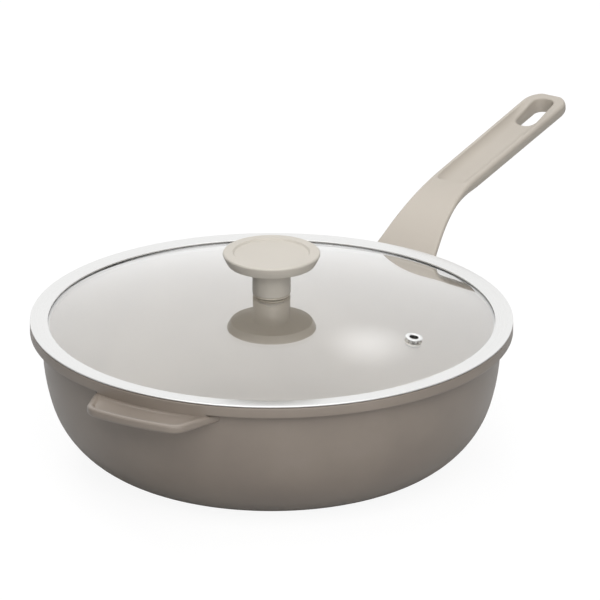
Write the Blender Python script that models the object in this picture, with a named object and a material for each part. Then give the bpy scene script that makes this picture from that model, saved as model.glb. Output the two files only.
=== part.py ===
"""Covered wok pan at rest with its lid on. Metres, +Z up.

The origin is the centre of the flat base. The long handle runs along +X, the helper ear along -X, and the
steam vent is on the -Y side of the lid.
"""

import math

import bpy
from mathutils import Matrix, Vector

# Clearances
GAP = 0.0003  # between two pieces that touch on the real pan
LID_CLEARANCE = 0.0004  # between the lid's rim and the seat it drops into
SKIRT_CLEARANCE = 0.0005  # between the lid's skirt and the pan wall
OVERLAP = 0.0010  # how far a shape runs into, or past, the one it joins or cuts

# Pan casting, in two solids: the flat floor, and the side with its rim, ear and boss
WALL_THICKNESS = 0.0036
BASE_THICKNESS = 0.0050
FLOOR_INSET = 0.0032  # the floor's edge, in from where the side starts to rise
BULGE_HEIGHT = 0.0765  # where the outer wall stands upright
SIDE_ARC = 0.125
CORNER_ARC = 0.057
RIM_RADIUS = 0.1450
RIM_HEIGHT = 0.0877
BAND_WIDTH = 0.0074  # how far the rim band stands out from the wall
BAND_DEPTH = 0.0065
BAND_FILLET = 0.0040
BAND_EDGE = 0.0006
SEAT_INSET = 0.0062  # the lid's seat, in from the rim's outer edge

# Helper ear, cast with the pan
EAR_LENGTH = 0.0208  # out from the rim's outer edge
EAR_HALF_TIP = 0.0313
EAR_SPLAY = math.radians(17.7)
EAR_CORNER = 0.0085
EAR_THICKNESS = 0.0056
EAR_DROP = 0.0008  # its top below the lower edge of the rim band
EAR_LIP = 0.0034
EAR_RECESS = 0.0018
EAR_LEDGE = 0.0006
EAR_EDGE = 0.0010

# Induction plate in the base
PLATE_MARGIN = 0.0077  # flat metal left round the plate
PLATE_THICKNESS = 0.0008
PLATE_HOLE = 0.0040
PLATE_RINGS = ((0.0220, 6), (0.0440, 12))  # radius of each ring of holes, and their number

# Handle moulding: its top edge is three straight runs, the root, the neck and the grip, joined by two arcs.
# Its places along X are measured out from the rim's outer edge.
ROOT_X = 0.0040
ROOT_Z = 0.0762
ROOT_ANGLE = math.radians(12.5)
ROOT_ARC = 0.040
BEND_X = 0.0463
BEND_ARC = 0.115
NECK_ANGLE = math.radians(35.9)
GRIP_ANGLE = math.radians(7.4)
HANDLE_END = 0.1892
GRIP_HALF_WIDTH = 0.0138
TIP_HALF_WIDTH = 0.0142
FLARE = 0.0098  # how much wider each side is at the foot
FLARE_START = 0.0020
HANDLE_ROOT = 0.0190  # how far the uncut moulding starts inside the pan wall
FLARE_END = 0.0724
TIP_RADIUS = 0.0095
TOP_EDGE = 0.0017
THICKEN_START = 0.0390
THICKEN_END = 0.0780
FOOT_SIDE = 0.0019
GRIP_SIDE = 0.0040
CROWN_START = 0.0166
CROWN_END = 0.0656
FOOT_CROWN = 0.0160
GRIP_CROWN = 0.0068
CHANNEL_START = 0.0656
CHANNEL_RISE = 0.0050
CHANNEL_FADE = 0.1508
CHANNEL_END = 0.1810
CHANNEL_DEPTH = 0.0022
CHANNEL_RIM = 0.0032
SLOT_START = 0.1491
SLOT_END = 0.1831
SLOT_HALF_WIDTH = 0.0071
SLOT_NEAR_CORNER = 0.0066
SLOT_FAR_CORNER = 0.0045

# Boss on the pan, inside the handle's foot, and the screw that holds them
BOSS_HALF_WIDTH = 0.0080
BOSS_TOP_DROP = 0.0040
BOSS_BOTTOM_DROP = 0.0100
BOSS_END = 0.0170  # from the wall, along the foot
BOSS_EDGE = 0.0010
HANDLE_SCREW_AT = 0.0098
HANDLE_SCREW_RADIUS = 0.0020
HANDLE_SCREW_HEAD_RADIUS = 0.0042
HANDLE_SCREW_HEAD_HEIGHT = 0.0022
SPRING_WASHER_RADIUS = 0.0040
SPRING_WASHER_THICKNESS = 0.0010
SPRING_WASHER_SPLIT = math.radians(14)
CLAMPED_FLOOR = 0.0018  # moulding between the socket and the counterbore
COUNTERBORE_RADIUS = 0.0048

# Lid glass and its steel rim
GLASS_THICKNESS = 0.0040
DOME_RISE = 0.0173
FLANGE_WIDTH = 0.0107
FLANGE_THICKNESS = 0.0010
FLANGE_EDGE = 0.0003
SHEET = 0.0005
SKIRT_LENGTH = 0.0040

# Steam vent
VENT_INSET = 0.0353  # its middle, in from the steel rim's inner edge
VENT_BORE = 0.0027
VENT_FLANGE = 0.0053
VENT_FOOT = 0.0050
VENT_SHEET = 0.0005
VENT_FLANGE_THICKNESS = 0.0007
COLLAR_RADIUS = 0.0050
COLLAR_HEIGHT = 0.0009
COLLAR_TEETH = 8
COLLAR_NOTCH = 0.0009
VENT_GASKET_THICKNESS = 0.0006

# Knob and the screw through the glass
KNOB_RADIUS = 0.0293
KNOB_FOOT_RADIUS = 0.0264  # lower edge of the disc
KNOB_DISC_HEIGHT = 0.0072
KNOB_BELLY = 0.0300  # arc of the disc's side
KNOB_EDGE = 0.0010
KNOB_RECESS_RADIUS = 0.0230
KNOB_RECESS_DEPTH = 0.0012
KNOB_RECESS_SLOPE = 0.0008
STEM_RADIUS = 0.0115
STEM_LENGTH = 0.0186
STEM_FILLET = 0.0015
GLASS_HOLE = 0.0050
UPPER_GASKET_THICKNESS = 0.0008
UPPER_GASKET_INSET = 0.0003
BUSH_FLANGE_RADIUS = 0.0085
BUSH_FLANGE_THICKNESS = 0.0012
KNOB_WASHER_RADIUS = 0.0080
KNOB_WASHER_THICKNESS = 0.0010
KNOB_SCREW_RADIUS = 0.0025
KNOB_SCREW_HEAD_RADIUS = 0.0048
KNOB_SCREW_HEAD_HEIGHT = 0.0026
INSERT_RADIUS = 0.0040
INSERT_LENGTH = 0.0110
INSERT_RECESS = 0.0005
SCREW_END_CLEARANCE = 0.0015
CROSS_WIDTH = 0.0009
CROSS_SPAN = 0.0026
CROSS_DEPTH = 0.0012

# Facets
LARGE_SIDES = 64
KNOB_SIDES = 40
SMALL_SIDES = 20
STUD_SIDES = 12
SHARP = math.radians(32)

# Heights and radii that follow from the sizes above
BAND_BOTTOM = RIM_HEIGHT - BAND_DEPTH
WALL_RADIUS = RIM_RADIUS - BAND_WIDTH
SEAT_RADIUS = RIM_RADIUS - SEAT_INSET
EAR_REACH = RIM_RADIUS + EAR_LENGTH
ARC_RUN = math.sqrt((SIDE_ARC - CORNER_ARC) ** 2 - (BULGE_HEIGHT - CORNER_ARC) ** 2)
FLOOR_RADIUS = WALL_RADIUS - SIDE_ARC + ARC_RUN
FLOOR_EDGE = FLOOR_RADIUS - FLOOR_INSET
PLATE_RADIUS = FLOOR_RADIUS - PLATE_MARGIN
INNER_RADIUS = WALL_RADIUS - WALL_THICKNESS
FLANGE_BOTTOM = RIM_HEIGHT + GAP
RING_TOP = FLANGE_BOTTOM + FLANGE_THICKNESS
FLANGE_INNER = RIM_RADIUS - FLANGE_WIDTH
WEB_OUTER = SEAT_RADIUS - LID_CLEARANCE
GLASS_EDGE = WEB_OUTER - SHEET - GAP
BRIM_TOP = FLANGE_BOTTOM - GAP
BRIM_BOTTOM = BRIM_TOP - GLASS_THICKNESS
LIP_TOP = BRIM_BOTTOM - GAP
LIP_BOTTOM = LIP_TOP - SHEET
SEAT_HEIGHT = LIP_BOTTOM - LID_CLEARANCE
SKIRT_OUTER = INNER_RADIUS - SKIRT_CLEARANCE
VENT_DISTANCE = FLANGE_INNER - VENT_INSET
DOME_RADIUS = (FLANGE_INNER**2 + DOME_RISE**2) / (2 * DOME_RISE)
APEX = BRIM_TOP + DOME_RISE
DOME_CENTRE = APEX - DOME_RADIUS
GLASS_UNDER = APEX - GLASS_THICKNESS
GASKET_BOTTOM = APEX + GAP
GASKET_TOP = GASKET_BOTTOM + UPPER_GASKET_THICKNESS
STEM_FOOT = GASKET_TOP + GAP
DISC_BOTTOM = STEM_FOOT + STEM_LENGTH
KNOB_TOP = DISC_BOTTOM + KNOB_DISC_HEIGHT
BUSH_TOP = GLASS_UNDER - GAP
BUSH_BOTTOM = BUSH_TOP - BUSH_FLANGE_THICKNESS
KNOB_WASHER_TOP = BUSH_BOTTOM - GAP
KNOB_WASHER_BOTTOM = KNOB_WASHER_TOP - KNOB_WASHER_THICKNESS
KNOB_HEAD_TOP = KNOB_WASHER_BOTTOM - GAP
INSERT_BOTTOM = STEM_FOOT + INSERT_RECESS
INSERT_TOP = INSERT_BOTTOM + INSERT_LENGTH
PLATE_RECESS = PLATE_THICKNESS + GAP
EAR_TOP = BAND_BOTTOM - EAR_DROP
EAR_BOTTOM = EAR_TOP - EAR_THICKNESS

for leftover in list(bpy.data.objects):
    bpy.data.objects.remove(leftover)


def material(name, colour, roughness, metallic=0.0, alpha=1.0):
    made = bpy.data.materials.new(name)
    made.use_nodes = True
    shader = made.node_tree.nodes["Principled BSDF"]
    shader.inputs["Base Color"].default_value = (*colour, 1.0)
    shader.inputs["Roughness"].default_value = roughness
    shader.inputs["Metallic"].default_value = metallic
    shader.inputs["Alpha"].default_value = alpha
    return made


COATING = material("taupe_coating_on_cast_aluminium", (0.22, 0.19, 0.165), 0.45)
MOULDING = material("beige_soft_touch_moulding", (0.58, 0.53, 0.46), 0.55)
STAINLESS = material("satin_stainless_steel", (0.75, 0.75, 0.75), 0.30, 1.0)
FERRITIC = material("ferritic_steel", (0.50, 0.50, 0.50), 0.35, 1.0)
ZINC = material("zinc_plated_steel", (0.62, 0.62, 0.60), 0.35, 1.0)
BRASS = material("brass", (0.72, 0.56, 0.27), 0.35, 1.0)
SILICONE = material("grey_silicone", (0.30, 0.28, 0.26), 0.60)
GLASS = material("tempered_glass", (0.80, 0.82, 0.82), 0.03, 0.0, 0.35)


def mesh_object(name, points, faces, finish=None):
    """Object from points and faces, shaded smooth except where its faces meet at more than SHARP."""
    mesh = bpy.data.meshes.new(name)
    mesh.from_pydata(points, [], faces)
    mesh.shade_smooth()
    mesh.set_sharp_from_angle(angle=SHARP)
    made = bpy.data.objects.new(name, mesh)
    bpy.context.scene.collection.objects.link(made)
    if finish:
        mesh.materials.append(finish)
    return made


def cut_or_join(target, tool, operation):
    """Adds an exact Boolean of the tool to the target, and leaves the tool out of the render."""
    tool.hide_render = True
    tool.display_type = "WIRE"
    tool.parent = target.parent
    step = target.modifiers.new(operation.lower() + " " + tool.name, "BOOLEAN")
    step.solver = "EXACT"
    step.operation = operation
    step.object = tool


def soften(target, width, segments):
    """Bevels the sharp edges, before any Boolean that follows."""
    step = target.modifiers.new("softened edges", "BEVEL")
    step.width = width
    step.segments = segments
    step.limit_method = "ANGLE"
    step.angle_limit = math.radians(50)


def arc(centre, radius, start, end, steps):
    """Points on an arc, both ends included. Angles are in degrees."""
    turns = [math.radians(start + (end - start) * i / steps) for i in range(steps + 1)]
    return [(centre[0] + radius * math.cos(t), centre[1] + radius * math.sin(t)) for t in turns]


def turned(name, outline, sides, finish=None):
    """Solid of revolution about Z. The closed outline of (radius, height) points runs anticlockwise."""
    points, rings = [], []
    for radius, height in outline:
        count = sides if radius > 0 else 1
        rings.append(range(len(points), len(points) + count))
        for k in range(count):
            turn = 2 * math.pi * k / sides
            points.append((radius * math.cos(turn), radius * math.sin(turn), height))
    faces = []
    for low, high in zip(rings, rings[1:] + rings[:1]):
        for k in range(sides):
            below = (low[k % len(low)], low[(k + 1) % len(low)])
            above = (high[(k + 1) % len(high)], high[k % len(high)])
            face = tuple(dict.fromkeys(below + above))
            if len(face) > 2:
                faces.append(face)
    return mesh_object(name, points, faces, finish)


def skin(name, sections, finish=None):
    """Closed skin over sections of equal count, each anticlockwise as seen from the last one."""
    count = len(sections[0])
    points = [point for section in sections for point in section]
    faces = [tuple(reversed(range(count)))]
    for row in range(len(sections) - 1):
        for k in range(count):
            low, next_low = row * count + k, row * count + (k + 1) % count
            faces.append((low, next_low, next_low + count, low + count))
    last = (len(sections) - 1) * count
    faces.append(tuple(range(last, last + count)))
    return mesh_object(name, points, faces, finish)


def prism(name, outline, bottom, top, finish=None):
    """Upright prism over an outline that runs anticlockwise as seen from above."""
    return skin(name, [[(x, y, height) for x, y in outline] for height in (bottom, top)], finish)


def drilled(name, radius, bottom, top, centres, sides=SMALL_SIDES):
    """Like upright cylinders in one object, one about each centre."""
    points, faces = [], []
    for x, y in centres:
        base = len(points)
        for height in (bottom, top):
            ring = [2 * math.pi * k / sides for k in range(sides)]
            points += [(x + radius * math.cos(t), y + radius * math.sin(t), height) for t in ring]
        faces.append(tuple(reversed(range(base, base + sides))))
        faces.append(tuple(range(base + sides, base + 2 * sides)))
        for k in range(sides):
            low, next_low = base + k, base + (k + 1) % sides
            faces.append((low, next_low, next_low + sides, low + sides))
    return mesh_object(name, points, faces)


def rounded(corners, steps=4):
    """Outline whose corners (x, y, radius) are arcs tangent to both sides. A zero radius keeps the corner."""
    outline = []
    for index, (x, y, radius) in enumerate(corners):
        here = Vector((x, y))
        if radius <= 0:
            outline.append((x, y))
            continue
        before = (Vector(corners[index - 1][:2]) - here).normalized()
        after = (Vector(corners[(index + 1) % len(corners)][:2]) - here).normalized()
        half = before.angle(after) / 2
        centre = here + (before + after).normalized() * radius / math.sin(half)
        spoke = here + before * radius / math.tan(half) - centre
        start = math.degrees(math.atan2(spoke.y, spoke.x))
        outline += arc(centre, radius, start, start + 180 - math.degrees(2 * half), steps)
    return outline


def smooth(value, start, end):
    """Eases from 0 at start to 1 at end."""
    share = min(max((value - start) / (end - start), 0.0), 1.0)
    return share * share * (3 - 2 * share)


def spread(start, end, steps):
    """Values from start to end in equal steps, without the last."""
    return [start + (end - start) * k / steps for k in range(steps)]


def mixed(first, second, share):
    return first + (second - first) * share


# Pan casting


def bowl_wall(top_radius, floor, side_arc, corner_arc, top, corner_steps=6, side_steps=3):
    """Half section of a bowl's wall from the edge of its flat floor to its upright top. A corner arc is
    tangent to the floor and to a flatter side arc, which stands upright at BULGE_HEIGHT."""
    side_centre = top_radius - side_arc
    rise = floor + corner_arc - BULGE_HEIGHT
    run = math.sqrt((side_arc - corner_arc) ** 2 - rise**2)
    join = math.degrees(math.atan2(rise, run))
    corner = arc((side_centre + run, floor + corner_arc), corner_arc, -90, join, corner_steps)
    side = arc((side_centre, BULGE_HEIGHT), side_arc, join, 0, side_steps)
    return corner + side[1:] + [(top_radius, top)]


def base_outline():
    recess_radius = PLATE_RADIUS + GAP
    recess = [(0.0, PLATE_RECESS), (recess_radius, PLATE_RECESS), (recess_radius, 0.0)]
    return recess + [(FLOOR_EDGE, 0.0), (FLOOR_EDGE, BASE_THICKNESS), (0.0, BASE_THICKNESS)]


def side_outline():
    start = FLOOR_EDGE + GAP
    outer = bowl_wall(WALL_RADIUS, 0.0, SIDE_ARC, CORNER_ARC, BAND_BOTTOM - BAND_FILLET)
    fillet = arc((WALL_RADIUS + BAND_FILLET, BAND_BOTTOM - BAND_FILLET), BAND_FILLET, 180, 90, 2)
    edge_radius = RIM_RADIUS - BAND_EDGE
    band = arc((edge_radius, BAND_BOTTOM + BAND_EDGE), BAND_EDGE, -90, 0, 1)
    band += arc((edge_radius, RIM_HEIGHT - BAND_EDGE), BAND_EDGE, 0, 90, 1)
    seat = [(SEAT_RADIUS, RIM_HEIGHT), (SEAT_RADIUS, SEAT_HEIGHT)]
    side_arc = SIDE_ARC - WALL_THICKNESS
    corner_arc = CORNER_ARC - WALL_THICKNESS
    inner = bowl_wall(INNER_RADIUS, BASE_THICKNESS, side_arc, corner_arc, SEAT_HEIGHT)
    return [(start, 0.0)] + outer + fillet[1:] + band + seat + inner[::-1] + [(start, BASE_THICKNESS)]


def ear_side_at(shift, radius):
    """Where the ear's side, moved in by shift, meets a circle about the pan's axis."""
    slope = math.tan(EAR_SPLAY)
    half_at_axis = EAR_HALF_TIP + EAR_REACH * slope - shift / math.cos(EAR_SPLAY)
    square = 1 + slope**2
    spare = (half_at_axis * slope) ** 2 - square * (half_at_axis**2 - radius**2)
    x = (half_at_axis * slope + math.sqrt(spare)) / square
    return x, half_at_axis - x * slope


def ear_outline(inset, back_radius):
    """The ear seen from above: two splayed sides and round corners between two arcs about the pan's axis."""
    corner = EAR_CORNER - inset
    centre = ear_side_at(EAR_CORNER, EAR_REACH - EAR_CORNER)
    tip = math.degrees(math.atan2(centre[1], centre[0]))
    side = 90 - math.degrees(EAR_SPLAY)
    root_x, root_y = ear_side_at(inset, back_radius)
    root = math.degrees(math.atan2(root_y, root_x))
    right = arc((centre[0], -centre[1]), corner, -side, -tip, 4)
    end = arc((0, 0), EAR_REACH - inset, -tip, tip, 6)
    left = arc(centre, corner, tip, side, 4)
    back = arc((0, 0), back_radius, root, -root, 10)
    return [(-x, -y) for x, y in right + end[1:-1] + left + back]


def plate_centres():
    centres = []
    for ring_radius, count in PLATE_RINGS:
        centres += [
            (ring_radius * math.cos(2 * math.pi * k / count), ring_radius * math.sin(2 * math.pi * k / count))
            for k in range(count)
        ]
    return centres


pan_base = turned("pan_base", base_outline(), LARGE_SIDES, COATING)
pan_body = turned("pan_body", side_outline(), LARGE_SIDES, COATING)

ear_root = INNER_RADIUS + WALL_THICKNESS / 2
ear = prism("ear", ear_outline(0.0, ear_root), EAR_BOTTOM, EAR_TOP)
soften(ear, EAR_EDGE, 2)
cut_or_join(pan_body, ear, "UNION")
ear_hollow_outline = ear_outline(EAR_LIP, RIM_RADIUS + EAR_LEDGE)
ear_hollow = prism("ear_hollow", ear_hollow_outline, EAR_TOP - EAR_RECESS, EAR_TOP + OVERLAP)
cut_or_join(pan_body, ear_hollow, "DIFFERENCE")

studs = drilled("studs", PLATE_HOLE - GAP, 0.0, PLATE_RECESS + OVERLAP, plate_centres(), STUD_SIDES)
cut_or_join(pan_base, studs, "UNION")

induction_plate = turned(
    "induction_plate",
    [(0.0, 0.0), (PLATE_RADIUS, 0.0), (PLATE_RADIUS, PLATE_THICKNESS), (0.0, PLATE_THICKNESS)],
    LARGE_SIDES,
    FERRITIC,
)
plate_top = PLATE_THICKNESS + OVERLAP
plate_holes = drilled("plate_holes", PLATE_HOLE, -OVERLAP, plate_top, plate_centres(), STUD_SIDES)
cut_or_join(induction_plate, plate_holes, "DIFFERENCE")


# Handle moulding


def turn_at(x, corner_x, corner_z, before, after, radius):
    """Height and slope angle at x of two lines that meet at a corner, rounded by an arc of this radius."""
    tangent = radius * math.tan(abs(after - before) / 2)
    start = corner_x - tangent * math.cos(before)
    if x <= start:
        return corner_z + (x - corner_x) * math.tan(before), before
    if x >= corner_x + tangent * math.cos(after):
        return corner_z + (x - corner_x) * math.tan(after), after
    side = 1 if after < before else -1
    centre_x = start + side * radius * math.sin(before)
    centre_z = corner_z - tangent * math.sin(before) - side * radius * math.cos(before)
    height = centre_z + side * math.sqrt(radius**2 - (x - centre_x) ** 2)
    return height, math.asin(side * (centre_x - x) / radius)


def handle_top(x):
    """Height and slope angle of the handle's top edge at x, measured out from the rim's outer edge."""
    middle = (ROOT_X + BEND_X) / 2
    if x < middle:
        return turn_at(x, ROOT_X, ROOT_Z, ROOT_ANGLE, NECK_ANGLE, ROOT_ARC)
    bend_z = ROOT_Z + (BEND_X - ROOT_X) * math.tan(NECK_ANGLE)
    return turn_at(x, BEND_X, bend_z, NECK_ANGLE, GRIP_ANGLE, BEND_ARC)


def corner_loss(x, radius):
    """How far a round corner of this radius at the handle's end has drawn the surface in at x."""
    past = min(max(x - (HANDLE_END - radius), 0.0), radius)
    return radius - math.sqrt(radius**2 - past**2)


def handle_section(x):
    """Section of the handle square to its top edge, as (y, height over the top edge) points, anticlockwise
    as seen from the pan."""
    thicken = smooth(x, THICKEN_START, THICKEN_END)
    flare = min(max((FLARE_END - x) / (FLARE_END - FLARE_START), 0.0), 1.0)
    widening = max(x - FLARE_END, 0.0) / (HANDLE_END - FLARE_END)
    half = mixed(GRIP_HALF_WIDTH, TIP_HALF_WIDTH, widening) + FLARE * flare**2 - corner_loss(x, TIP_RADIUS)
    side = mixed(FOOT_SIDE, GRIP_SIDE, thicken)
    crown = mixed(FOOT_CROWN, GRIP_CROWN, smooth(x, CROWN_START, CROWN_END))
    crown *= 1 - corner_loss(x, TIP_RADIUS) / TIP_RADIUS
    power = mixed(2.0, 1.0, thicken)
    drop = corner_loss(x, TOP_EDGE)
    rise = min(max((x - CHANNEL_START) / CHANNEL_RISE, 0.0), 1.0)
    depth = CHANNEL_DEPTH * math.sqrt(rise * (2 - rise)) * (1 - smooth(x, CHANNEL_FADE, CHANNEL_END))
    flat = half - TOP_EDGE
    channel = half - CHANNEL_RIM
    top = [(flat, -drop)]
    for share in (1.0, 0.8, 0.45, 0.0, -0.45, -0.8, -1.0):
        top.append((channel * share, -drop - depth * (1 - share**2)))
    top.append((-flat, -drop))
    radius = TOP_EDGE - drop * 0.5
    left_edge = arc((-flat, -drop - radius), radius, 90, 180, 2)[1:]
    right_edge = arc((flat, -drop - radius), radius, 0, 90, 2)[:-1]
    turns = [math.pi * k / 8 for k in range(9)]
    under = [(-half * math.cos(t), -side - crown * math.sin(t) ** power) for t in turns]
    stretch = (half - flat) / radius
    left_edge = [(-flat + (y + flat) * stretch, height) for y, height in left_edge]
    right_edge = [(flat + (y - flat) * stretch, height) for y, height in right_edge]
    return top + left_edge + under + right_edge


def handle_place(x, y, height):
    """World point of a section's point."""
    top, angle = handle_top(x)
    return (RIM_RADIUS + x - height * math.sin(angle), y, top + height * math.cos(angle))


def handle_stations():
    """Distances from the rim's outer edge at which the handle has a section."""
    channel_foot = [CHANNEL_START + CHANNEL_RISE * share for share in (0.0, 0.12, 0.45, 1.0)]
    tip = [HANDLE_END - TIP_RADIUS * share for share in (1.0, 0.75, 0.5, 0.28, 0.12, 0.03, 0.0)]
    neck = spread(FLARE_START, channel_foot[0], 8)
    grip = spread(channel_foot[-1], CHANNEL_FADE, 7)
    fade = spread(CHANNEL_FADE, tip[0], 3)
    return [-BAND_WIDTH - HANDLE_ROOT] + neck + channel_foot + grip[1:] + fade[1:-1] + tip


def slot_outline():
    """The hanging slot in the plane of the grip, measured from the slot's start along the handle."""
    length = (SLOT_END - SLOT_START) / math.cos(GRIP_ANGLE)
    half = SLOT_HALF_WIDTH
    near, far = SLOT_NEAR_CORNER, SLOT_FAR_CORNER
    return rounded([(0, -half, near), (length, -half, far), (length, half, far), (0, half, near)])


def tilted(origin_x, origin_z, angle):
    """Frame whose X runs outwards along a line at this slope, and whose Z stands square to it."""
    return Matrix.Translation((origin_x, 0, origin_z)) @ Matrix.Rotation(-angle, 4, "Y")


handle = skin(
    "handle",
    [[handle_place(x, y, height) for y, height in handle_section(x)] for x in handle_stations()],
    MOULDING,
)

foot_height, _ = handle_top(-BAND_WIDTH)
FOOT_FRAME = tilted(WALL_RADIUS, foot_height, ROOT_ANGLE)
slot_height, _ = handle_top(SLOT_START)
SLOT_FRAME = tilted(RIM_RADIUS + SLOT_START, slot_height, GRIP_ANGLE)
SECTION_DEPTH = FOOT_SIDE + FOOT_CROWN
SOCKET_BOTTOM = -BOSS_BOTTOM_DROP - GAP
WASHER_TOP = SOCKET_BOTTOM - CLAMPED_FLOOR - GAP
HEAD_TOP = WASHER_TOP - SPRING_WASHER_THICKNESS - GAP


def foot_bar(name, half_width, top_drop, bottom_drop, end, edge, root_x):
    """Bar along the foot of the handle, from an upright face at root_x to a square end."""
    frame = FOOT_FRAME
    ends = [frame @ Vector((end, 0, -drop)) for drop in (top_drop, bottom_drop)]
    backs = [frame @ Vector((0, 0, -drop)) for drop in (top_drop, bottom_drop)]
    roots = [(root_x, back.z + (root_x - back.x) * math.tan(ROOT_ANGLE)) for back in backs]
    side = [roots[0], (ends[0].x, ends[0].z), (ends[1].x, ends[1].z), roots[1]]
    made = skin(name, [[(x, y, z) for x, z in side] for y in (-half_width, half_width)])
    soften(made, edge, 2)
    return made


# The boss is part of the casting
boss_root = INNER_RADIUS + OVERLAP / 2
boss = foot_bar("boss", BOSS_HALF_WIDTH, BOSS_TOP_DROP, BOSS_BOTTOM_DROP, BOSS_END, BOSS_EDGE, boss_root)
cut_or_join(pan_body, boss, "UNION")
boss_hole = drilled(
    "boss_hole",
    HANDLE_SCREW_RADIUS + GAP,
    -BOSS_BOTTOM_DROP - OVERLAP,
    -BOSS_TOP_DROP + OVERLAP,
    [(HANDLE_SCREW_AT, 0)],
)
boss_hole.matrix_world = FOOT_FRAME
cut_or_join(pan_body, boss_hole, "DIFFERENCE")

# The foot is hollowed for the wall, the boss and the screw
wall_shape = bowl_wall(WALL_RADIUS + GAP, -GAP, SIDE_ARC + GAP, CORNER_ARC + GAP, RIM_HEIGHT)
pan_wall = turned("pan_wall", [(0.0, -GAP)] + wall_shape + [(0.0, RIM_HEIGHT)], LARGE_SIDES)
socket = foot_bar(
    "socket",
    BOSS_HALF_WIDTH + GAP,
    BOSS_TOP_DROP - GAP,
    BOSS_BOTTOM_DROP + GAP,
    BOSS_END + GAP,
    BOSS_EDGE,
    boss_root - WALL_THICKNESS,
)
cut_or_join(handle, socket, "DIFFERENCE")
cut_or_join(handle, pan_wall, "DIFFERENCE")
screw_way = drilled(
    "screw_way",
    HANDLE_SCREW_RADIUS + GAP,
    WASHER_TOP - OVERLAP,
    SOCKET_BOTTOM + OVERLAP,
    [(HANDLE_SCREW_AT, 0)],
)
screw_way.matrix_world = FOOT_FRAME
cut_or_join(handle, screw_way, "DIFFERENCE")
counterbore = drilled(
    "counterbore",
    COUNTERBORE_RADIUS,
    -SECTION_DEPTH - OVERLAP,
    WASHER_TOP + GAP,
    [(HANDLE_SCREW_AT, 0)],
)
counterbore.matrix_world = FOOT_FRAME
cut_or_join(handle, counterbore, "DIFFERENCE")
hanging_slot = prism("hanging_slot", slot_outline(), -GRIP_SIDE - GRIP_CROWN - OVERLAP, OVERLAP)
hanging_slot.matrix_world = SLOT_FRAME
cut_or_join(handle, hanging_slot, "DIFFERENCE")


def screw(name, radius, length, head_radius, head_height, finish):
    """Pan head screw pointing up, its head's upper face at height 0, with a cross recess from below."""
    dome = head_radius * 0.35
    outline = [
        (0.0, -head_height),
        (head_radius - dome, -head_height),
        (head_radius, -head_height + dome),
        (head_radius, 0.0),
        (radius, 0.0),
        (radius, length - radius * 0.4),
        (radius * 0.6, length),
        (0.0, length),
    ]
    made = turned(name, outline, SMALL_SIDES, finish)
    wide, narrow = CROSS_SPAN, CROSS_WIDTH / 2
    arm = [(wide, -narrow), (wide, narrow), (narrow, narrow)]
    plus = []
    for _ in range(4):
        plus += arm
        arm = [(-y, x) for x, y in arm]
    cross = prism(name + "_cross", plus, -head_height - OVERLAP, -head_height + CROSS_DEPTH)
    return made, cross


def place_screw(made, cross, frame):
    made.matrix_world = frame
    cross.matrix_world = frame
    cut_or_join(made, cross, "DIFFERENCE")


screw_frame = FOOT_FRAME @ Matrix.Translation((HANDLE_SCREW_AT, 0, HEAD_TOP))
handle_screw_length = -BOSS_TOP_DROP - OVERLAP - HEAD_TOP
handle_screw, handle_cross = screw(
    "handle_screw",
    HANDLE_SCREW_RADIUS,
    handle_screw_length,
    HANDLE_SCREW_HEAD_RADIUS,
    HANDLE_SCREW_HEAD_HEIGHT,
    ZINC,
)
place_screw(handle_screw, handle_cross, screw_frame)


def split_washer(name, inner, outer, thickness, split, finish):
    """Ring with a narrow split, each end a little above or below the other."""
    sections = []
    for k in range(SMALL_SIDES + 1):
        share = k / SMALL_SIDES
        turn = split / 2 + (2 * math.pi - split) * share
        across = Vector((math.cos(turn), math.sin(turn), 0))
        corners = ((inner, 0.0), (outer, 0.0), (outer, thickness), (inner, thickness))
        sections.append([tuple(across * radius + Vector((0, 0, height))) for radius, height in corners])
    return skin(name, [section[::-1] for section in sections], finish)


handle_spring_washer = split_washer(
    "handle_spring_washer",
    HANDLE_SCREW_RADIUS + GAP,
    SPRING_WASHER_RADIUS,
    SPRING_WASHER_THICKNESS,
    SPRING_WASHER_SPLIT,
    ZINC,
)
washer_drop = WASHER_TOP - SPRING_WASHER_THICKNESS
handle_spring_washer.matrix_world = FOOT_FRAME @ Matrix.Translation((HANDLE_SCREW_AT, 0, washer_drop))


# Lid: every piece is parented to an empty on the axis along which it lifts

lid_axis = bpy.data.objects.new("lid_axis", None)
lid_axis.location = (0.0, 0.0, FLANGE_BOTTOM)
bpy.context.scene.collection.objects.link(lid_axis)
bpy.context.view_layer.update()


def on_lid(*pieces):
    for piece in pieces:
        piece.parent = lid_axis
        piece.matrix_parent_inverse = lid_axis.matrix_world.inverted()


def dome_arc(radius, edge_height, steps):
    """Points of the dome from its apex to the radius where it has come down to edge_height."""
    edge = math.degrees(math.asin((edge_height - DOME_CENTRE) / radius))
    return [(max(r, 0.0), z) for r, z in arc((0, DOME_CENTRE), radius, 90, edge, steps)]


def glass_outline():
    outside = dome_arc(DOME_RADIUS, BRIM_TOP, 7)
    inside = dome_arc(DOME_RADIUS - GLASS_THICKNESS, BRIM_BOTTOM, 6)
    outside[0] = (0.0, outside[0][1])
    inside[0] = (0.0, inside[0][1])
    half = GLASS_THICKNESS / 2
    edge = arc((GLASS_EDGE - half, BRIM_TOP - half), half, -60, 60, 3)
    return inside + [(GLASS_EDGE - GLASS_THICKNESS / 4, BRIM_BOTTOM)] + edge[1:-1] + [
        (GLASS_EDGE - GLASS_THICKNESS / 4, BRIM_TOP)
    ] + outside[::-1]


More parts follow.
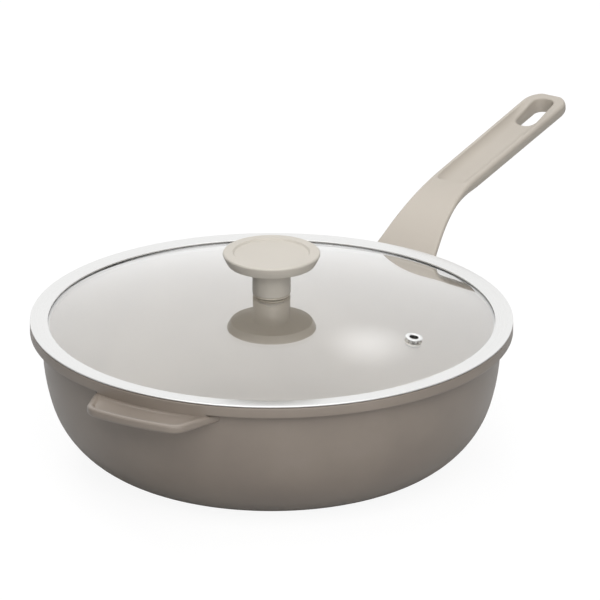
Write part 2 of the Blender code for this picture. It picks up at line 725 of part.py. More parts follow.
def ring_outline():
    skirt_inner = SKIRT_OUTER - SHEET
    web_inner = WEB_OUTER - SHEET
    edge = FLANGE_EDGE
    rolled = arc((RIM_RADIUS - edge, FLANGE_BOTTOM + edge), edge, -90, 0, 1)
    rolled += arc((RIM_RADIUS - edge, RING_TOP - edge), edge, 0, 90, 1)
    return [
        (skirt_inner, LIP_BOTTOM - SKIRT_LENGTH),
        (SKIRT_OUTER, LIP_BOTTOM - SKIRT_LENGTH),
        (SKIRT_OUTER, LIP_BOTTOM),
        (WEB_OUTER, LIP_BOTTOM),
        (WEB_OUTER, FLANGE_BOTTOM),
        *rolled,
        (FLANGE_INNER, RING_TOP),
        (FLANGE_INNER, FLANGE_BOTTOM),
        (web_inner, FLANGE_BOTTOM),
        (web_inner, LIP_TOP),
        (skirt_inner, LIP_TOP),
    ]


lid_glass = turned("lid_glass", glass_outline(), LARGE_SIDES, GLASS)
knob_way = drilled("knob_way", GLASS_HOLE, GLASS_UNDER - OVERLAP, APEX + OVERLAP, [(0, 0)])
cut_or_join(lid_glass, knob_way, "DIFFERENCE")

VENT_TILT = math.asin(VENT_DISTANCE / DOME_RADIUS)
VENT_FRAME = (
    Matrix.Translation((0, 0, DOME_CENTRE))
    @ Matrix.Rotation(VENT_TILT, 4, "X")
    @ Matrix.Translation((0, 0, DOME_RADIUS))
)
VENT_TUBE = VENT_BORE + VENT_SHEET
VENT_HOLE = VENT_TUBE + GAP
vent_way = drilled("vent_way", VENT_HOLE, -GLASS_THICKNESS - OVERLAP, OVERLAP, [(0, 0)])
vent_way.matrix_world = VENT_FRAME
cut_or_join(lid_glass, vent_way, "DIFFERENCE")

lid_rim = turned("lid_rim", ring_outline(), LARGE_SIDES, STAINLESS)

# Steam vent: a tube with a flange at each end, a notched collar over the glass and a gasket under it

collar_top = GAP + COLLAR_HEIGHT
flange_under = collar_top + GAP
flange_top = flange_under + VENT_FLANGE_THICKNESS
vent_gasket_top = -GLASS_THICKNESS - GAP
vent_gasket_bottom = vent_gasket_top - VENT_GASKET_THICKNESS
foot_top = vent_gasket_bottom - GAP
foot_bottom = foot_top - VENT_SHEET
eyelet_outline = [
    (VENT_BORE, foot_bottom),
    (VENT_FOOT, foot_bottom),
    (VENT_FOOT, foot_top),
    (VENT_TUBE, foot_top),
    (VENT_TUBE, flange_under),
    (VENT_FLANGE - FLANGE_EDGE, flange_under),
    (VENT_FLANGE, flange_under + FLANGE_EDGE),
    (VENT_FLANGE - FLANGE_EDGE, flange_top),
    (VENT_BORE + FLANGE_EDGE, flange_top),
    (VENT_BORE, flange_top - FLANGE_EDGE),
]
vent_eyelet = turned("vent_eyelet", eyelet_outline, SMALL_SIDES, STAINLESS)
vent_eyelet.matrix_world = VENT_FRAME


def notched_ring(name, inner, outer, notch, teeth, bottom, top, finish):
    """Ring whose outer edge steps in and out, as many times as it has teeth."""
    per_tooth = 6
    count = teeth * per_tooth
    sections = []
    for k in range(count):
        turn = 2 * math.pi * (k + 0.5) / count
        radius = outer - notch if k % per_tooth in (0, 1) else outer
        corners = ((inner, bottom), (radius, bottom), (radius, top), (inner, top))
        sections.append([(r * math.cos(turn), r * math.sin(turn), z) for r, z in corners])
    points = [point for section in sections for point in section]
    faces = []
    for k in range(count):
        here, there = 4 * k, 4 * ((k + 1) % count)
        for j in range(4):
            following = (j + 1) % 4
            faces.append((here + j, there + j, there + following, here + following))
    return mesh_object(name, points, faces, finish)


vent_collar = notched_ring(
    "vent_collar", VENT_HOLE, COLLAR_RADIUS, COLLAR_NOTCH, COLLAR_TEETH, GAP, collar_top, STAINLESS
)
vent_collar.matrix_world = VENT_FRAME
vent_gasket = turned(
    "vent_gasket",
    [
        (VENT_HOLE, vent_gasket_bottom),
        (VENT_FOOT, vent_gasket_bottom),
        (VENT_FOOT, vent_gasket_top),
        (VENT_HOLE, vent_gasket_top),
    ],
    SMALL_SIDES,
    SILICONE,
)
vent_gasket.matrix_world = VENT_FRAME


# Knob and its fixing


def knob_outline():
    """The stem with its bore, then the disc's flat underside, convex side and recessed top."""
    bore = INSERT_RADIUS + GAP
    bore_top = INSERT_TOP + GAP
    fillet = arc((STEM_RADIUS + STEM_FILLET, DISC_BOTTOM - STEM_FILLET), STEM_FILLET, 180, 90, 3)
    side_rise = KNOB_DISC_HEIGHT - KNOB_EDGE
    side_run = KNOB_RADIUS - KNOB_FOOT_RADIUS
    chord = math.hypot(side_rise, side_run)
    middle = ((KNOB_RADIUS + KNOB_FOOT_RADIUS) / 2, DISC_BOTTOM + side_rise / 2)
    back = math.sqrt(KNOB_BELLY**2 - (chord / 2) ** 2)
    centre = (middle[0] - back * side_rise / chord, middle[1] + back * side_run / chord)
    start = math.degrees(math.atan2(DISC_BOTTOM - centre[1], KNOB_FOOT_RADIUS - centre[0]))
    end = math.degrees(math.atan2(DISC_BOTTOM + side_rise - centre[1], KNOB_RADIUS - centre[0]))
    side = arc(centre, KNOB_BELLY, start, end, 4)
    edge = arc((KNOB_RADIUS - KNOB_EDGE, KNOB_TOP - KNOB_EDGE), KNOB_EDGE, 0, 90, 3)
    floor = KNOB_TOP - KNOB_RECESS_DEPTH
    return [
        (0.0, bore_top),
        (bore, bore_top),
        (bore, STEM_FOOT),
        (STEM_RADIUS, STEM_FOOT),
        *fillet,
        *side,
        *edge[1:],
        (KNOB_RECESS_RADIUS, KNOB_TOP),
        (KNOB_RECESS_RADIUS - KNOB_RECESS_SLOPE, floor),
        (0.0, floor),
    ]


def washer(name, inner, outer, bottom, top, finish):
    outline = [(inner, bottom), (outer, bottom), (outer, top), (inner, top)]
    return turned(name, outline, SMALL_SIDES, finish)


knob = turned("knob", knob_outline(), KNOB_SIDES, MOULDING)
screw_hole = KNOB_SCREW_RADIUS + GAP
sleeve = GLASS_HOLE - GAP
knob_insert = washer("knob_insert", screw_hole, INSERT_RADIUS, INSERT_BOTTOM, INSERT_TOP, BRASS)
knob_gasket_upper = washer(
    "knob_gasket_upper", GLASS_HOLE, STEM_RADIUS - UPPER_GASKET_INSET, GASKET_BOTTOM, GASKET_TOP, SILICONE
)
knob_bush = turned(
    "knob_bush",
    [
        (screw_hole, BUSH_BOTTOM),
        (BUSH_FLANGE_RADIUS, BUSH_BOTTOM),
        (BUSH_FLANGE_RADIUS, BUSH_TOP),
        (sleeve, BUSH_TOP),
        (sleeve, GASKET_TOP),
        (screw_hole, GASKET_TOP),
    ],
    SMALL_SIDES,
    SILICONE,
)
knob_washer = washer(
    "knob_washer", screw_hole, KNOB_WASHER_RADIUS, KNOB_WASHER_BOTTOM, KNOB_WASHER_TOP, STAINLESS
)
knob_screw, knob_cross = screw(
    "knob_screw",
    KNOB_SCREW_RADIUS,
    INSERT_TOP - SCREW_END_CLEARANCE - KNOB_HEAD_TOP,
    KNOB_SCREW_HEAD_RADIUS,
    KNOB_SCREW_HEAD_HEIGHT,
    STAINLESS,
)
place_screw(knob_screw, knob_cross, Matrix.Translation((0, 0, KNOB_HEAD_TOP)))

on_lid(lid_glass, knob_way, vent_way, lid_rim, vent_eyelet, vent_collar, vent_gasket)
on_lid(knob, knob_insert, knob_gasket_upper, knob_bush, knob_washer, knob_screw, knob_cross)
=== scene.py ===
import math

import bpy
from mathutils import Matrix, Vector


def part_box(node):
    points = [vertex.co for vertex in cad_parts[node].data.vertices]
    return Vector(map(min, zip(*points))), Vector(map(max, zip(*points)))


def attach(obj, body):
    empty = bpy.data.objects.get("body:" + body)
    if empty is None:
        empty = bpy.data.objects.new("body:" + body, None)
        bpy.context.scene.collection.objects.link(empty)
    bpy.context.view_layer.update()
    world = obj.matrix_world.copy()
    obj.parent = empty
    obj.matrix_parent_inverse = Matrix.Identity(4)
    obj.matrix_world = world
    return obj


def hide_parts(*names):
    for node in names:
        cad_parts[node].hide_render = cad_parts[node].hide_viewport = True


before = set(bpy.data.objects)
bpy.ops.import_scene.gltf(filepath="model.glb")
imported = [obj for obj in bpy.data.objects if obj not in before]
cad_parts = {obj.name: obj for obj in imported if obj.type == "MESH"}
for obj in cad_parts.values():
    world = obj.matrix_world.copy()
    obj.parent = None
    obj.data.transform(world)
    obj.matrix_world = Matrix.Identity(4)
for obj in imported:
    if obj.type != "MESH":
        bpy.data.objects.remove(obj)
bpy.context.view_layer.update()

# Pan casting.
# One aluminium casting with a flat base, a round side and a square rim band, turned true in a lathe and sprayed
# with a matt taupe ceramic coating. Inside it is drawn paler, partly its own lighter coat and partly painted
# light that stands in for the light from above reaching the bowl under the glass. Its section is drawn once and
# spun.
GAP = 0.0003  # between pieces that touch on the real pan
ear_end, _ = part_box("pan_body")
_, rim_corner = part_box("lid_rim")
RIM_RADIUS = rim_corner.y
RIM_HEIGHT = 0.0877
BAND_WIDTH, BAND_DEPTH = 0.0074, 0.0065  # how far the rim band stands out from the wall, and its height
WALL_RADIUS = RIM_RADIUS - BAND_WIDTH
WALL = 0.0036
BASE = 0.0050
BULGE_HEIGHT = 0.0765  # where the side stands upright
SIDE_ARC = 0.125
CORNER_ARC = 0.057
BAND_BOTTOM = RIM_HEIGHT - BAND_DEPTH
BAND_FILLET = 0.0040
BAND_EDGE = 0.0008
SEAT_INSET, SEAT_DEPTH = 0.0062, 0.0052  # the step that the lid's glass and band drop into
SEAT_RADIUS = RIM_RADIUS - SEAT_INSET
SEAT_HEIGHT = RIM_HEIGHT - SEAT_DEPTH
SEAT_EDGE = 0.0004
_, plate_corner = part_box("induction_plate")
PLATE_RADIUS = plate_corner.x
PLATE_RECESS = plate_corner.z + GAP


def arc(centre, radius, start, end, steps):
    """Points (radius, height) on an arc, both ends included. Angles are in degrees."""
    turns = [math.radians(start + (end - start) * i / steps) for i in range(steps + 1)]
    return [(centre[0] + radius * math.cos(t), centre[1] + radius * math.sin(t)) for t in turns]


def take(piece):
    """Makes this the one object that is selected and active."""
    bpy.ops.object.select_all(action="DESELECT")
    piece.select_set(True)
    bpy.context.view_layer.objects.active = piece


def begin(name):
    """Names the primitive that was just added and opens it for editing, all selected."""
    piece = bpy.context.object
    piece.name = name
    piece.data.name = name
    bpy.ops.object.transform_apply(location=True, rotation=True, scale=True)
    bpy.ops.object.mode_set(mode="EDIT")
    bpy.ops.mesh.select_all(action="SELECT")
    return piece


def tidy(piece, sharp=40, place=None):
    """Closes the edit: doubles merged, faces outwards, placed, and shaded smooth up to the sharp angle."""
    bpy.ops.mesh.select_all(action="SELECT")
    bpy.ops.mesh.remove_doubles(threshold=0.000002)
    bpy.ops.mesh.normals_make_consistent(inside=False)
    bpy.ops.object.mode_set(mode="OBJECT")
    if place:
        piece.data.transform(place)
    bpy.ops.object.shade_smooth_by_angle(angle=math.radians(sharp))
    return piece


def spun(name, profile, steps, closed=False, sharp=40, place=None):
    """A turned piece: one point is drawn out along the profile, and the line is spun round the axis."""
    bpy.ops.object.select_all(action="DESELECT")
    first_radius, first_height = profile[0]
    bpy.ops.mesh.primitive_plane_add(size=0.001, location=(first_radius, 0, first_height))
    piece = begin(name)
    bpy.ops.mesh.merge(type="CENTER")
    stops = profile[1:] + profile[:1] if closed else profile[1:]
    here = Vector(profile[0])
    for stop in stops:
        move = Vector(stop) - here
        bpy.ops.mesh.extrude_region_move(TRANSFORM_OT_translate={"value": (move.x, 0, move.y)})
        here = Vector(stop)
    bpy.ops.mesh.select_all(action="SELECT")
    bpy.ops.mesh.spin(steps=steps, angle=math.tau, center=(0, 0, 0), axis=(0, 0, 1))
    return tidy(piece, sharp, place)


def bowl_side(top_radius, floor, side_arc, corner_arc, top):
    """Half section of a bowl's side: a corner arc tangent to the floor, then a flatter arc up to the wall."""
    side_centre = top_radius - side_arc
    rise = floor + corner_arc - BULGE_HEIGHT
    run = math.sqrt((side_arc - corner_arc) ** 2 - rise**2)
    join = math.degrees(math.atan2(rise, run))
    corner = arc((side_centre + run, floor + corner_arc), corner_arc, -90, join, 26)
    side = arc((side_centre, BULGE_HEIGHT), side_arc, join, 0, 8)
    return corner + side[1:] + [(top_radius, top)]


def boolean(piece, tool, operation):
    """Cuts the tool out of the piece, or joins it on, and clears the tool away."""
    step = piece.modifiers.new(operation, "BOOLEAN")
    step.operation = operation
    step.solver = "EXACT"
    step.object = tool
    bpy.context.view_layer.objects.active = piece
    bpy.ops.object.modifier_apply(modifier=step.name)
    bpy.data.objects.remove(tool)


inner_side = bowl_side(WALL_RADIUS - WALL, BASE, SIDE_ARC - WALL, CORNER_ARC - WALL, SEAT_HEIGHT - SEAT_EDGE)
pan = spun(
    "pan_casting",
    [(0.0, PLATE_RECESS), (PLATE_RADIUS + GAP, PLATE_RECESS), (PLATE_RADIUS + GAP, 0.0)]
    + bowl_side(WALL_RADIUS, 0.0, SIDE_ARC, CORNER_ARC, BAND_BOTTOM - BAND_FILLET)
    + arc((WALL_RADIUS + BAND_FILLET, BAND_BOTTOM - BAND_FILLET), BAND_FILLET, 180, 90, 8)[1:]
    + arc((RIM_RADIUS - BAND_EDGE, BAND_BOTTOM + BAND_EDGE), BAND_EDGE, -90, 0, 4)
    + arc((RIM_RADIUS - BAND_EDGE, RIM_HEIGHT - BAND_EDGE), BAND_EDGE, 0, 90, 4)
    + arc((SEAT_RADIUS + SEAT_EDGE, RIM_HEIGHT - SEAT_EDGE), SEAT_EDGE, 90, 180, 3)
    + [(SEAT_RADIUS, SEAT_HEIGHT)]
    + arc((WALL_RADIUS - WALL + SEAT_EDGE, SEAT_HEIGHT - SEAT_EDGE), SEAT_EDGE, 90, 180, 3)
    + inner_side[::-1][1:]
    + [(0.0, BASE)],
    steps=192,
)

# Studs of the base.
# The steel plate is pressed into the soft aluminium, which rises through the plate's holes as round studs with
# slightly rounded ends. They are one with the casting.
STUD_RADIUS = 0.0037
STUD_RINGS = ((0.0220, 6), (0.0440, 12))  # radius of each ring of studs, and their number
OVERLAP = 0.0010  # how far a joined or cutting piece reaches past the face that it meets
STUD_LENGTH = PLATE_RECESS + OVERLAP
STUD_LIFT = 0.00002  # keeps every stud just inside the base
STUD_EDGE = 0.0002
bpy.ops.object.select_all(action="DESELECT")
bpy.ops.mesh.primitive_cylinder_add(
    vertices=24, radius=STUD_RADIUS, depth=STUD_LENGTH, location=(0, 0, STUD_LENGTH / 2 + STUD_LIFT)
)
stud = begin("stud")
bpy.ops.mesh.bevel(offset=STUD_EDGE, segments=2)
tidy(stud)
studs = []
for ring_radius, count in STUD_RINGS:
    for k in range(count):
        spot = Matrix.Rotation(math.tau * k / count, 4, "Z") @ Vector((ring_radius, 0, 0))
        copy = stud.copy()
        copy.data = stud.data.copy()
        copy.data.transform(Matrix.Translation(spot))
        bpy.context.scene.collection.objects.link(copy)
        studs.append(copy)
bpy.data.objects.remove(stud)
bpy.ops.object.select_all(action="DESELECT")
for copy in studs:
    copy.select_set(True)
bpy.context.view_layer.objects.active = studs[0]
bpy.ops.object.join()
boolean(pan, studs[0], "UNION")

# Helper ear.
# A short flat grip cast with the pan. Its tip is an arc about the pan's axis, its sides splay towards the
# pan, and a raised lip runs round a sunken panel, all of it softened by the coating.
EAR_REACH = -ear_end.x
EAR_HALF_TIP = 0.0313
EAR_SPLAY = math.radians(17.7)
EAR_CORNER = 0.0112
EAR_DROP, EAR_THICKNESS = 0.0008, 0.0056
EAR_TOP = BAND_BOTTOM - EAR_DROP
EAR_BOTTOM = EAR_TOP - EAR_THICKNESS
EAR_LIP = 0.0040
EAR_RECESS = 0.0023
EAR_LEDGE = 0.0021  # how far the ledge under the rim band stands out from the rim
EAR_EDGE = 0.0019
EAR_ROUND = 0.0011  # half the width of the slope from the lip down to the panel
EAR_PANEL_START = 0.1415  # from here outwards the panel falls away from the ledge
WEB_PROUD, WEB_INSET = 0.00002, 0.0003  # over the ear the band is filled down to the ledge, between these
WEB_ROOT = 0.0012


def spread(start, end, count):
    """Evenly spaced values from start to end, both included."""
    return [start + (end - start) * k / count for k in range(count + 1)]


def ear_side(inset, radius):
    """Where the ear's splayed side, drawn in by the inset, crosses a circle about the pan's axis."""
    slope = math.tan(EAR_SPLAY)
    at_axis = EAR_HALF_TIP + EAR_REACH * slope - inset / math.cos(EAR_SPLAY)
    square = 1 + slope**2
    x = (-slope * at_axis - math.sqrt(square * radius**2 - at_axis**2)) / square
    return x, at_axis + slope * x


def about(centre, radius, start, end, steps):
    """Points on an arc in plan, both ends included. Angles are in radians."""
    turns = spread(start, end, steps)
    return [(centre[0] + radius * math.cos(t), centre[1] + radius * math.sin(t)) for t in turns]


def ear_outline(inset, back_radius):
    """Plan of the ear drawn in by the inset: two splayed sides, round corners, a tip arc and a back arc."""
    reach, corner = EAR_REACH - inset, EAR_CORNER - inset
    back = ear_side(inset, back_radius)
    centre = ear_side(inset + corner, reach - corner)
    turn, back_turn = math.atan2(centre[1], centre[0]), math.atan2(back[1], back[0])
    left = [back] + about(centre, corner, math.pi / 2 + EAR_SPLAY, turn, 10)
    tip = about((0, 0), reach, turn, math.tau - turn, 40)[1:-1]
    right = [(x, -y) for x, y in left[::-1]]
    return left + tip + right + about((0, 0), back_radius, math.tau - back_turn, back_turn, 40)[1:-1]


def lofted(name, sections):
    """A closed skin drawn over sections that have the same number of points, capped at both ends."""
    count = len(sections[0])
    points = [point for section in sections for point in section]
    faces = [tuple(reversed(range(count))), tuple(range(len(points) - count, len(points)))]
    for row in range(len(sections) - 1):
        for k in range(count):
            low, next_low = row * count + k, row * count + (k + 1) % count
            faces.append((low, next_low, next_low + count, low + count))
    mesh = bpy.data.meshes.new(name)
    mesh.from_pydata(points, [], faces)
    made = bpy.data.objects.new(name, mesh)
    bpy.context.scene.collection.objects.link(made)
    take(made)
    bpy.ops.object.mode_set(mode="EDIT")
    return tidy(made)


ear_back, ledge = WALL_RADIUS - WALL / 2, RIM_RADIUS + EAR_LEDGE
ear_edge = arc((EAR_EDGE, EAR_BOTTOM + EAR_EDGE), EAR_EDGE, 270, 180, 5)
ear_edge += arc((EAR_EDGE, EAR_TOP - EAR_EDGE), EAR_EDGE, 180, 90, 5)
ear_rings = [[(x, y, z) for x, y in ear_outline(inset, ear_back)] for inset, z in ear_edge]
for share in spread(0.0, 1.0, 9):
    sunk = share * share * (3 - 2 * share) * EAR_RECESS / (EAR_REACH - EAR_LIP - EAR_PANEL_START)
    slope_at = EAR_ROUND * (2 * share - 1)
    outline = ear_outline(EAR_LIP + slope_at, ledge + slope_at)
    ear_rings.append([(x, y, EAR_TOP - sunk * (-x - EAR_PANEL_START)) for x, y in outline])
ear = lofted("ear", ear_rings)
boolean(pan, ear, "UNION")

web_reach, web_back = RIM_RADIUS + WEB_PROUD, SEAT_RADIUS + WEB_INSET
web_turn, web_back_turn = (math.atan2(*ear_side(EAR_EDGE, radius)[::-1]) for radius in (web_reach, web_back))
web = about((0, 0), web_reach, web_turn, math.tau - web_turn, 60)
web += about((0, 0), web_back, math.tau - web_back_turn, web_back_turn, 60)
web_heights = (EAR_TOP - WEB_ROOT, RIM_HEIGHT - BAND_EDGE - WEB_INSET)
boolean(pan, lofted("band_web", [[(x, y, z) for x, y in web] for z in web_heights]), "UNION")


def linear(code):
    """Linear red, green, blue and full alpha of an sRGB hex colour."""
    channels = [int(code[k : k + 2], 16) / 255 for k in (1, 3, 5)]
    return (*(c / 12.92 if c <= 0.04045 else ((c + 0.055) / 1.055) ** 2.4 for c in channels), 1)


def node(tree, kind, settings=None, stops=(), **inputs):
    """Adds a node: its settings, a ramp's stops, and its inputs, each a value, an output or a node to link."""
    made = tree.nodes.new(kind)
    for name, value in (settings or {}).items():
        setattr(made, name, value)
    if stops:
        elements = made.color_ramp.elements
        while len(elements) < len(stops):
            elements.new(0.5)
        for element, (position, tone) in zip(elements, stops):
            element.position = position
            element.color = linear(tone) if isinstance(tone, str) else (tone, tone, tone, 1)
    for name, value in inputs.items():
        socket = next(s for s in made.inputs if name == s.identifier or name.replace("_", " ") == s.name)
        if isinstance(value, bpy.types.Node):
            value = value.outputs[0]
        if isinstance(value, bpy.types.NodeSocket):
            tree.links.new(value, socket)
        else:
            socket.default_value = value
    return made


def new_finish(name):
    """An empty material, its node tree, and the Object coordinates that its patterns read."""
    finish = bpy.data.materials.new(name)
    finish.use_nodes = True
    finish.node_tree.nodes.clear()
    return finish, finish.node_tree, node(finish.node_tree, "ShaderNodeTexCoord").outputs["Object"]


# Ceramic coating, sprayed and baked: matt with a soft wide gloss, clouds of tone 36 mm across, pale specks
# 1.1 mm apart, and orange peel drawn at 0.7 mm, coarser than it is, so that it shows. It is taupe outside. In
# the bowl it is drawn paler and warmer, partly its own lighter coat and partly painted light that stands in for
# the light from above reaching the bowl under the glass.
def ceramic_coating(name, darker, middle, paler, speck):
    finish, tree, place = new_finish(name)
    clouds = node(tree, "ShaderNodeTexNoise", Vector=place, Scale=28, Detail=4)
    tone = node(tree, "ShaderNodeValToRGB", stops=((0.30, darker), (0.55, middle), (0.75, paler)), Fac=clouds)
    cells = node(tree, "ShaderNodeTexVoronoi", Vector=place, Scale=900)
    specks = node(tree, "ShaderNodeValToRGB", stops=((0.05, 0.16), (0.12, 0.0)), Fac=cells)
    flecked = node(
        tree, "ShaderNodeMix", {"data_type": "RGBA"}, Factor=specks, A_Color=tone, B_Color=linear(speck)
    )
    peel = node(tree, "ShaderNodeTexNoise", Vector=place, Scale=1400, Detail=2)
    shader = node(
        tree,
        "ShaderNodeBsdfPrincipled",
        Base_Color=flecked.outputs[2],
        Roughness=node(tree, "ShaderNodeValToRGB", stops=((0.2, 0.38), (0.8, 0.48)), Fac=clouds),
        Specular_IOR_Level=0.5,
        Coat_Weight=0.45,
        Coat_Roughness=0.25,
        Normal=node(tree, "ShaderNodeBump", Height=peel, Distance=0.00002, Strength=0.5),
    )
    node(tree, "ShaderNodeOutputMaterial", Surface=shader)
    return finish


def dress(piece, finish):
    """Gives the piece one finish all over."""
    piece.data.materials.clear()
    piece.data.materials.append(finish)


dress(pan, ceramic_coating("taupe_ceramic_coating", "#7e746b", "#83796f", "#877d74", "#a89e94"))
# The bowl's paler, warmer coating is partly painted light, standing in for the light the bowl gets from above.
bowl_coating_and_painted_light = ceramic_coating("pale_taupe_coating_and_painted_light", "#a69e93", "#aba398", "#b0a89d", "#c4bcb2")
pan.data.materials.append(bowl_coating_and_painted_light)
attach(pan, "pan")
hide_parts("pan_base", "pan_body")

# Handle.
# One piece of beige moulding with a soft matt skin. Its foot is wide and flat and sits against the pan's side
# over a boss, its neck rises, and its grip has a thumb channel that fades out before the hanging slot.
# Places along it are measured out from the rim's outer edge.
_, handle_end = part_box("handle")
ROOT_X, ROOT_Z = 0.0040, 0.0762
ROOT_ANGLE = math.radians(12.5)
ROOT_ARC = 0.040
BEND_X = 0.0463
BEND_ARC = 0.115
NECK_ANGLE = math.radians(35.9)
GRIP_ANGLE = math.radians(7.4)
HANDLE_ROOT = 0.0190  # how far the moulding is drawn in past the wall, which is cut out of it later
TIP_SPARE = 0.0009  # keeps the rounded tip inside the box of the solid
HANDLE_END = handle_end.x - RIM_RADIUS - TIP_SPARE
GRIP_HALF_WIDTH = 0.0138
TIP_HALF_WIDTH = 0.0142
FLARE = 0.0098
FLARE_START, FLARE_END = 0.0020, 0.0724
TIP_LENGTH = 0.0132  # of the tip's round end, drawn as a squarish ellipse
TIP_POWER = 2.2
TIP_CUT = 0.970  # share of that ellipse at which the end is flat
FOOT_EDGE, GRIP_EDGE = 0.0016, 0.0022  # rounding of the top edges
THICKEN_START, THICKEN_END = 0.0390, 0.0780
FOOT_SIDE, GRIP_SIDE = 0.0019, 0.0040
CROWN_START, CROWN_END = 0.0166, 0.0656
FOOT_CROWN, GRIP_CROWN = 0.0160, 0.0068
CHANNEL_START, CHANNEL_FADE, CHANNEL_END = 0.0656, 0.1508, 0.1810
CHANNEL_RISE = 0.0038
CHANNEL_CORNER = 0.0048
CHANNEL_DEPTH = 0.0034
CHANNEL_RIM = 0.0032
CHANNEL_POWER = 4.2  # the higher, the steeper its walls and the flatter its floor
SLOT_START, SLOT_END = 0.1518, 0.1823
SLOT_HALF_WIDTH = 0.0066
SLOT_NEAR_CORNER, SLOT_FAR_CORNER = 0.0061, 0.0056
SLOT_MOUTH = 0.0011  # rounding of the slot's edge
SLOT_CLEAR = 0.0040  # how far the slot's cutter stands out of the grip


def eased(value, start, end):
    """Share of the way from start to end, eased at both ends."""
    share = min(max((value - start) / (end - start), 0.0), 1.0)
    return share * share * (3 - 2 * share)


def between(first, second, share):
    """Value at this share of the way from the first to the second."""
    return first + (second - first) * share


def bend_at(x, corner_x, corner_z, before, after, radius):
    """Height and slope at x of two lines that meet at a corner, rounded by an arc of this radius."""
    tangent = radius * math.tan(abs(after - before) / 2)
    start = corner_x - tangent * math.cos(before)
    if x <= start:
        return corner_z + (x - corner_x) * math.tan(before), before
    if x >= corner_x + tangent * math.cos(after):
        return corner_z + (x - corner_x) * math.tan(after), after
    side = 1 if after < before else -1
    centre_x = start + side * radius * math.sin(before)
    centre_z = corner_z - tangent * math.sin(before) - side * radius * math.cos(before)
    height = centre_z + side * math.sqrt(radius**2 - (x - centre_x) ** 2)
    return height, math.asin(side * (centre_x - x) / radius)


def handle_top(x):
    """Height and slope of the handle's top edge."""
    if x < (ROOT_X + BEND_X) / 2:
        return bend_at(x, ROOT_X, ROOT_Z, ROOT_ANGLE, NECK_ANGLE, ROOT_ARC)
    bend_z = ROOT_Z + (BEND_X - ROOT_X) * math.tan(NECK_ANGLE)
    return bend_at(x, BEND_X, bend_z, NECK_ANGLE, GRIP_ANGLE, BEND_ARC)


def drawn_in(x, radius):
    """How far a round corner of this radius at the handle's end has drawn the surface in at x."""
    past = min(max(x - (HANDLE_END - radius), 0.0), radius)
    return radius - math.sqrt(radius**2 - past**2)


def tip_share(x):
    """Share of its width that the handle keeps at x as its end rounds off."""
    past = min(max(x - (HANDLE_END - TIP_LENGTH), 0.0), TIP_LENGTH) / TIP_LENGTH * TIP_CUT
    return (1 - past**TIP_POWER) ** (1 / TIP_POWER)


def channel_depth(x, share):
    """Depth of the thumb channel at a share of its half width."""
    rise = min(max((x - CHANNEL_START) / CHANNEL_RISE, 0.0), 1.0)
    fade = 1 - eased(x, CHANNEL_FADE, CHANNEL_END)
    turned = min(max((CHANNEL_START + CHANNEL_CORNER - x) / CHANNEL_CORNER, 0.0), 1.0)
    round_start = 1 - (1 - math.sqrt(1 - turned**2)) * CHANNEL_CORNER / (GRIP_HALF_WIDTH - CHANNEL_RIM)
    wall = max(1 - abs(share / round_start) ** CHANNEL_POWER, 0.0)
    return CHANNEL_DEPTH * math.sqrt(rise * (2 - rise)) * fade * wall


def half_width(x):
    """Half the handle's width at x: flared at the foot and rounded off at the end."""
    flare = min(max((FLARE_END - x) / (FLARE_END - FLARE_START), 0.0), 1.0)
    widening = max(x - FLARE_END, 0.0) / (HANDLE_END - FLARE_END)
    return (between(GRIP_HALF_WIDTH, TIP_HALF_WIDTH, widening) + FLARE * flare**2) * tip_share(x)


def handle_section(x):
    """Section square to the top edge, as (y, height over the top edge), anticlockwise seen from the pan."""
    thicken = eased(x, THICKEN_START, THICKEN_END)
    half = half_width(x)
    side = between(FOOT_SIDE, GRIP_SIDE, thicken)
    crown = between(FOOT_CROWN, GRIP_CROWN, eased(x, CROWN_START, CROWN_END))
    crown *= tip_share(x)
    power = between(2.0, 1.0, thicken)
    edge = between(FOOT_EDGE, GRIP_EDGE, thicken)
    drop = drawn_in(x, edge)
    flat = half - edge
    channel = half - CHANNEL_RIM
    shares = [math.cos(math.pi * k / 24) for k in range(25)]
    top = [(flat, -drop), ((flat + channel) / 2, -drop)]
    top += [(channel * share, -drop - channel_depth(x, share)) for share in shares]
    top += [(-(flat + channel) / 2, -drop)]
    radius = edge - drop * 0.5
    stretch = (half - flat) / radius
    left = [(-flat + (y + flat) * stretch, h) for y, h in arc((-flat, -drop - radius), radius, 90, 180, 6)]
    right = [(flat + (y - flat) * stretch, h) for y, h in arc((flat, -drop - radius), radius, 0, 90, 6)]
    turns = [math.pi * k / 28 for k in range(29)]
    under = [(-half * math.cos(t), -side - crown * math.sin(t) ** power) for t in turns]
    return top + left + under + right[:-1]


def handle_place(x, y, height):
    """Point of the section at x, in the frame of the whole object."""
    top, angle = handle_top(x)
    return (RIM_RADIUS + x - height * math.sin(angle), y, top + height * math.cos(angle))


stations = spread(WALL_RADIUS - RIM_RADIUS - HANDLE_ROOT, FLARE_START, 6)[:-1]
stations += spread(FLARE_START, CHANNEL_START, 36)
stations += [CHANNEL_START + CHANNEL_RISE * share for share in (0.04, 0.1, 0.18, 0.28, 0.4, 0.55, 0.75, 1.0)]
stations += spread(CHANNEL_START + CHANNEL_RISE, CHANNEL_FADE, 24)[1:]
stations += spread(CHANNEL_FADE, HANDLE_END - TIP_LENGTH, 15)[1:]
stations += [HANDLE_END - TIP_LENGTH * (1 - math.sin(math.radians(turn))) for turn in range(5, 91, 5)]
handle = lofted(
    "handle_moulding",
    [[handle_place(x, y, height) for y, height in handle_section(x)] for x in stations],
)

slot_top, _ = handle_top(SLOT_START)
SLOT_FRAME = Matrix.Translation((RIM_RADIUS + SLOT_START, 0, slot_top)) @ Matrix.Rotation(-GRIP_ANGLE, 4, "Y")
SLOT_LENGTH = (SLOT_END - SLOT_START) / math.cos(GRIP_ANGLE)


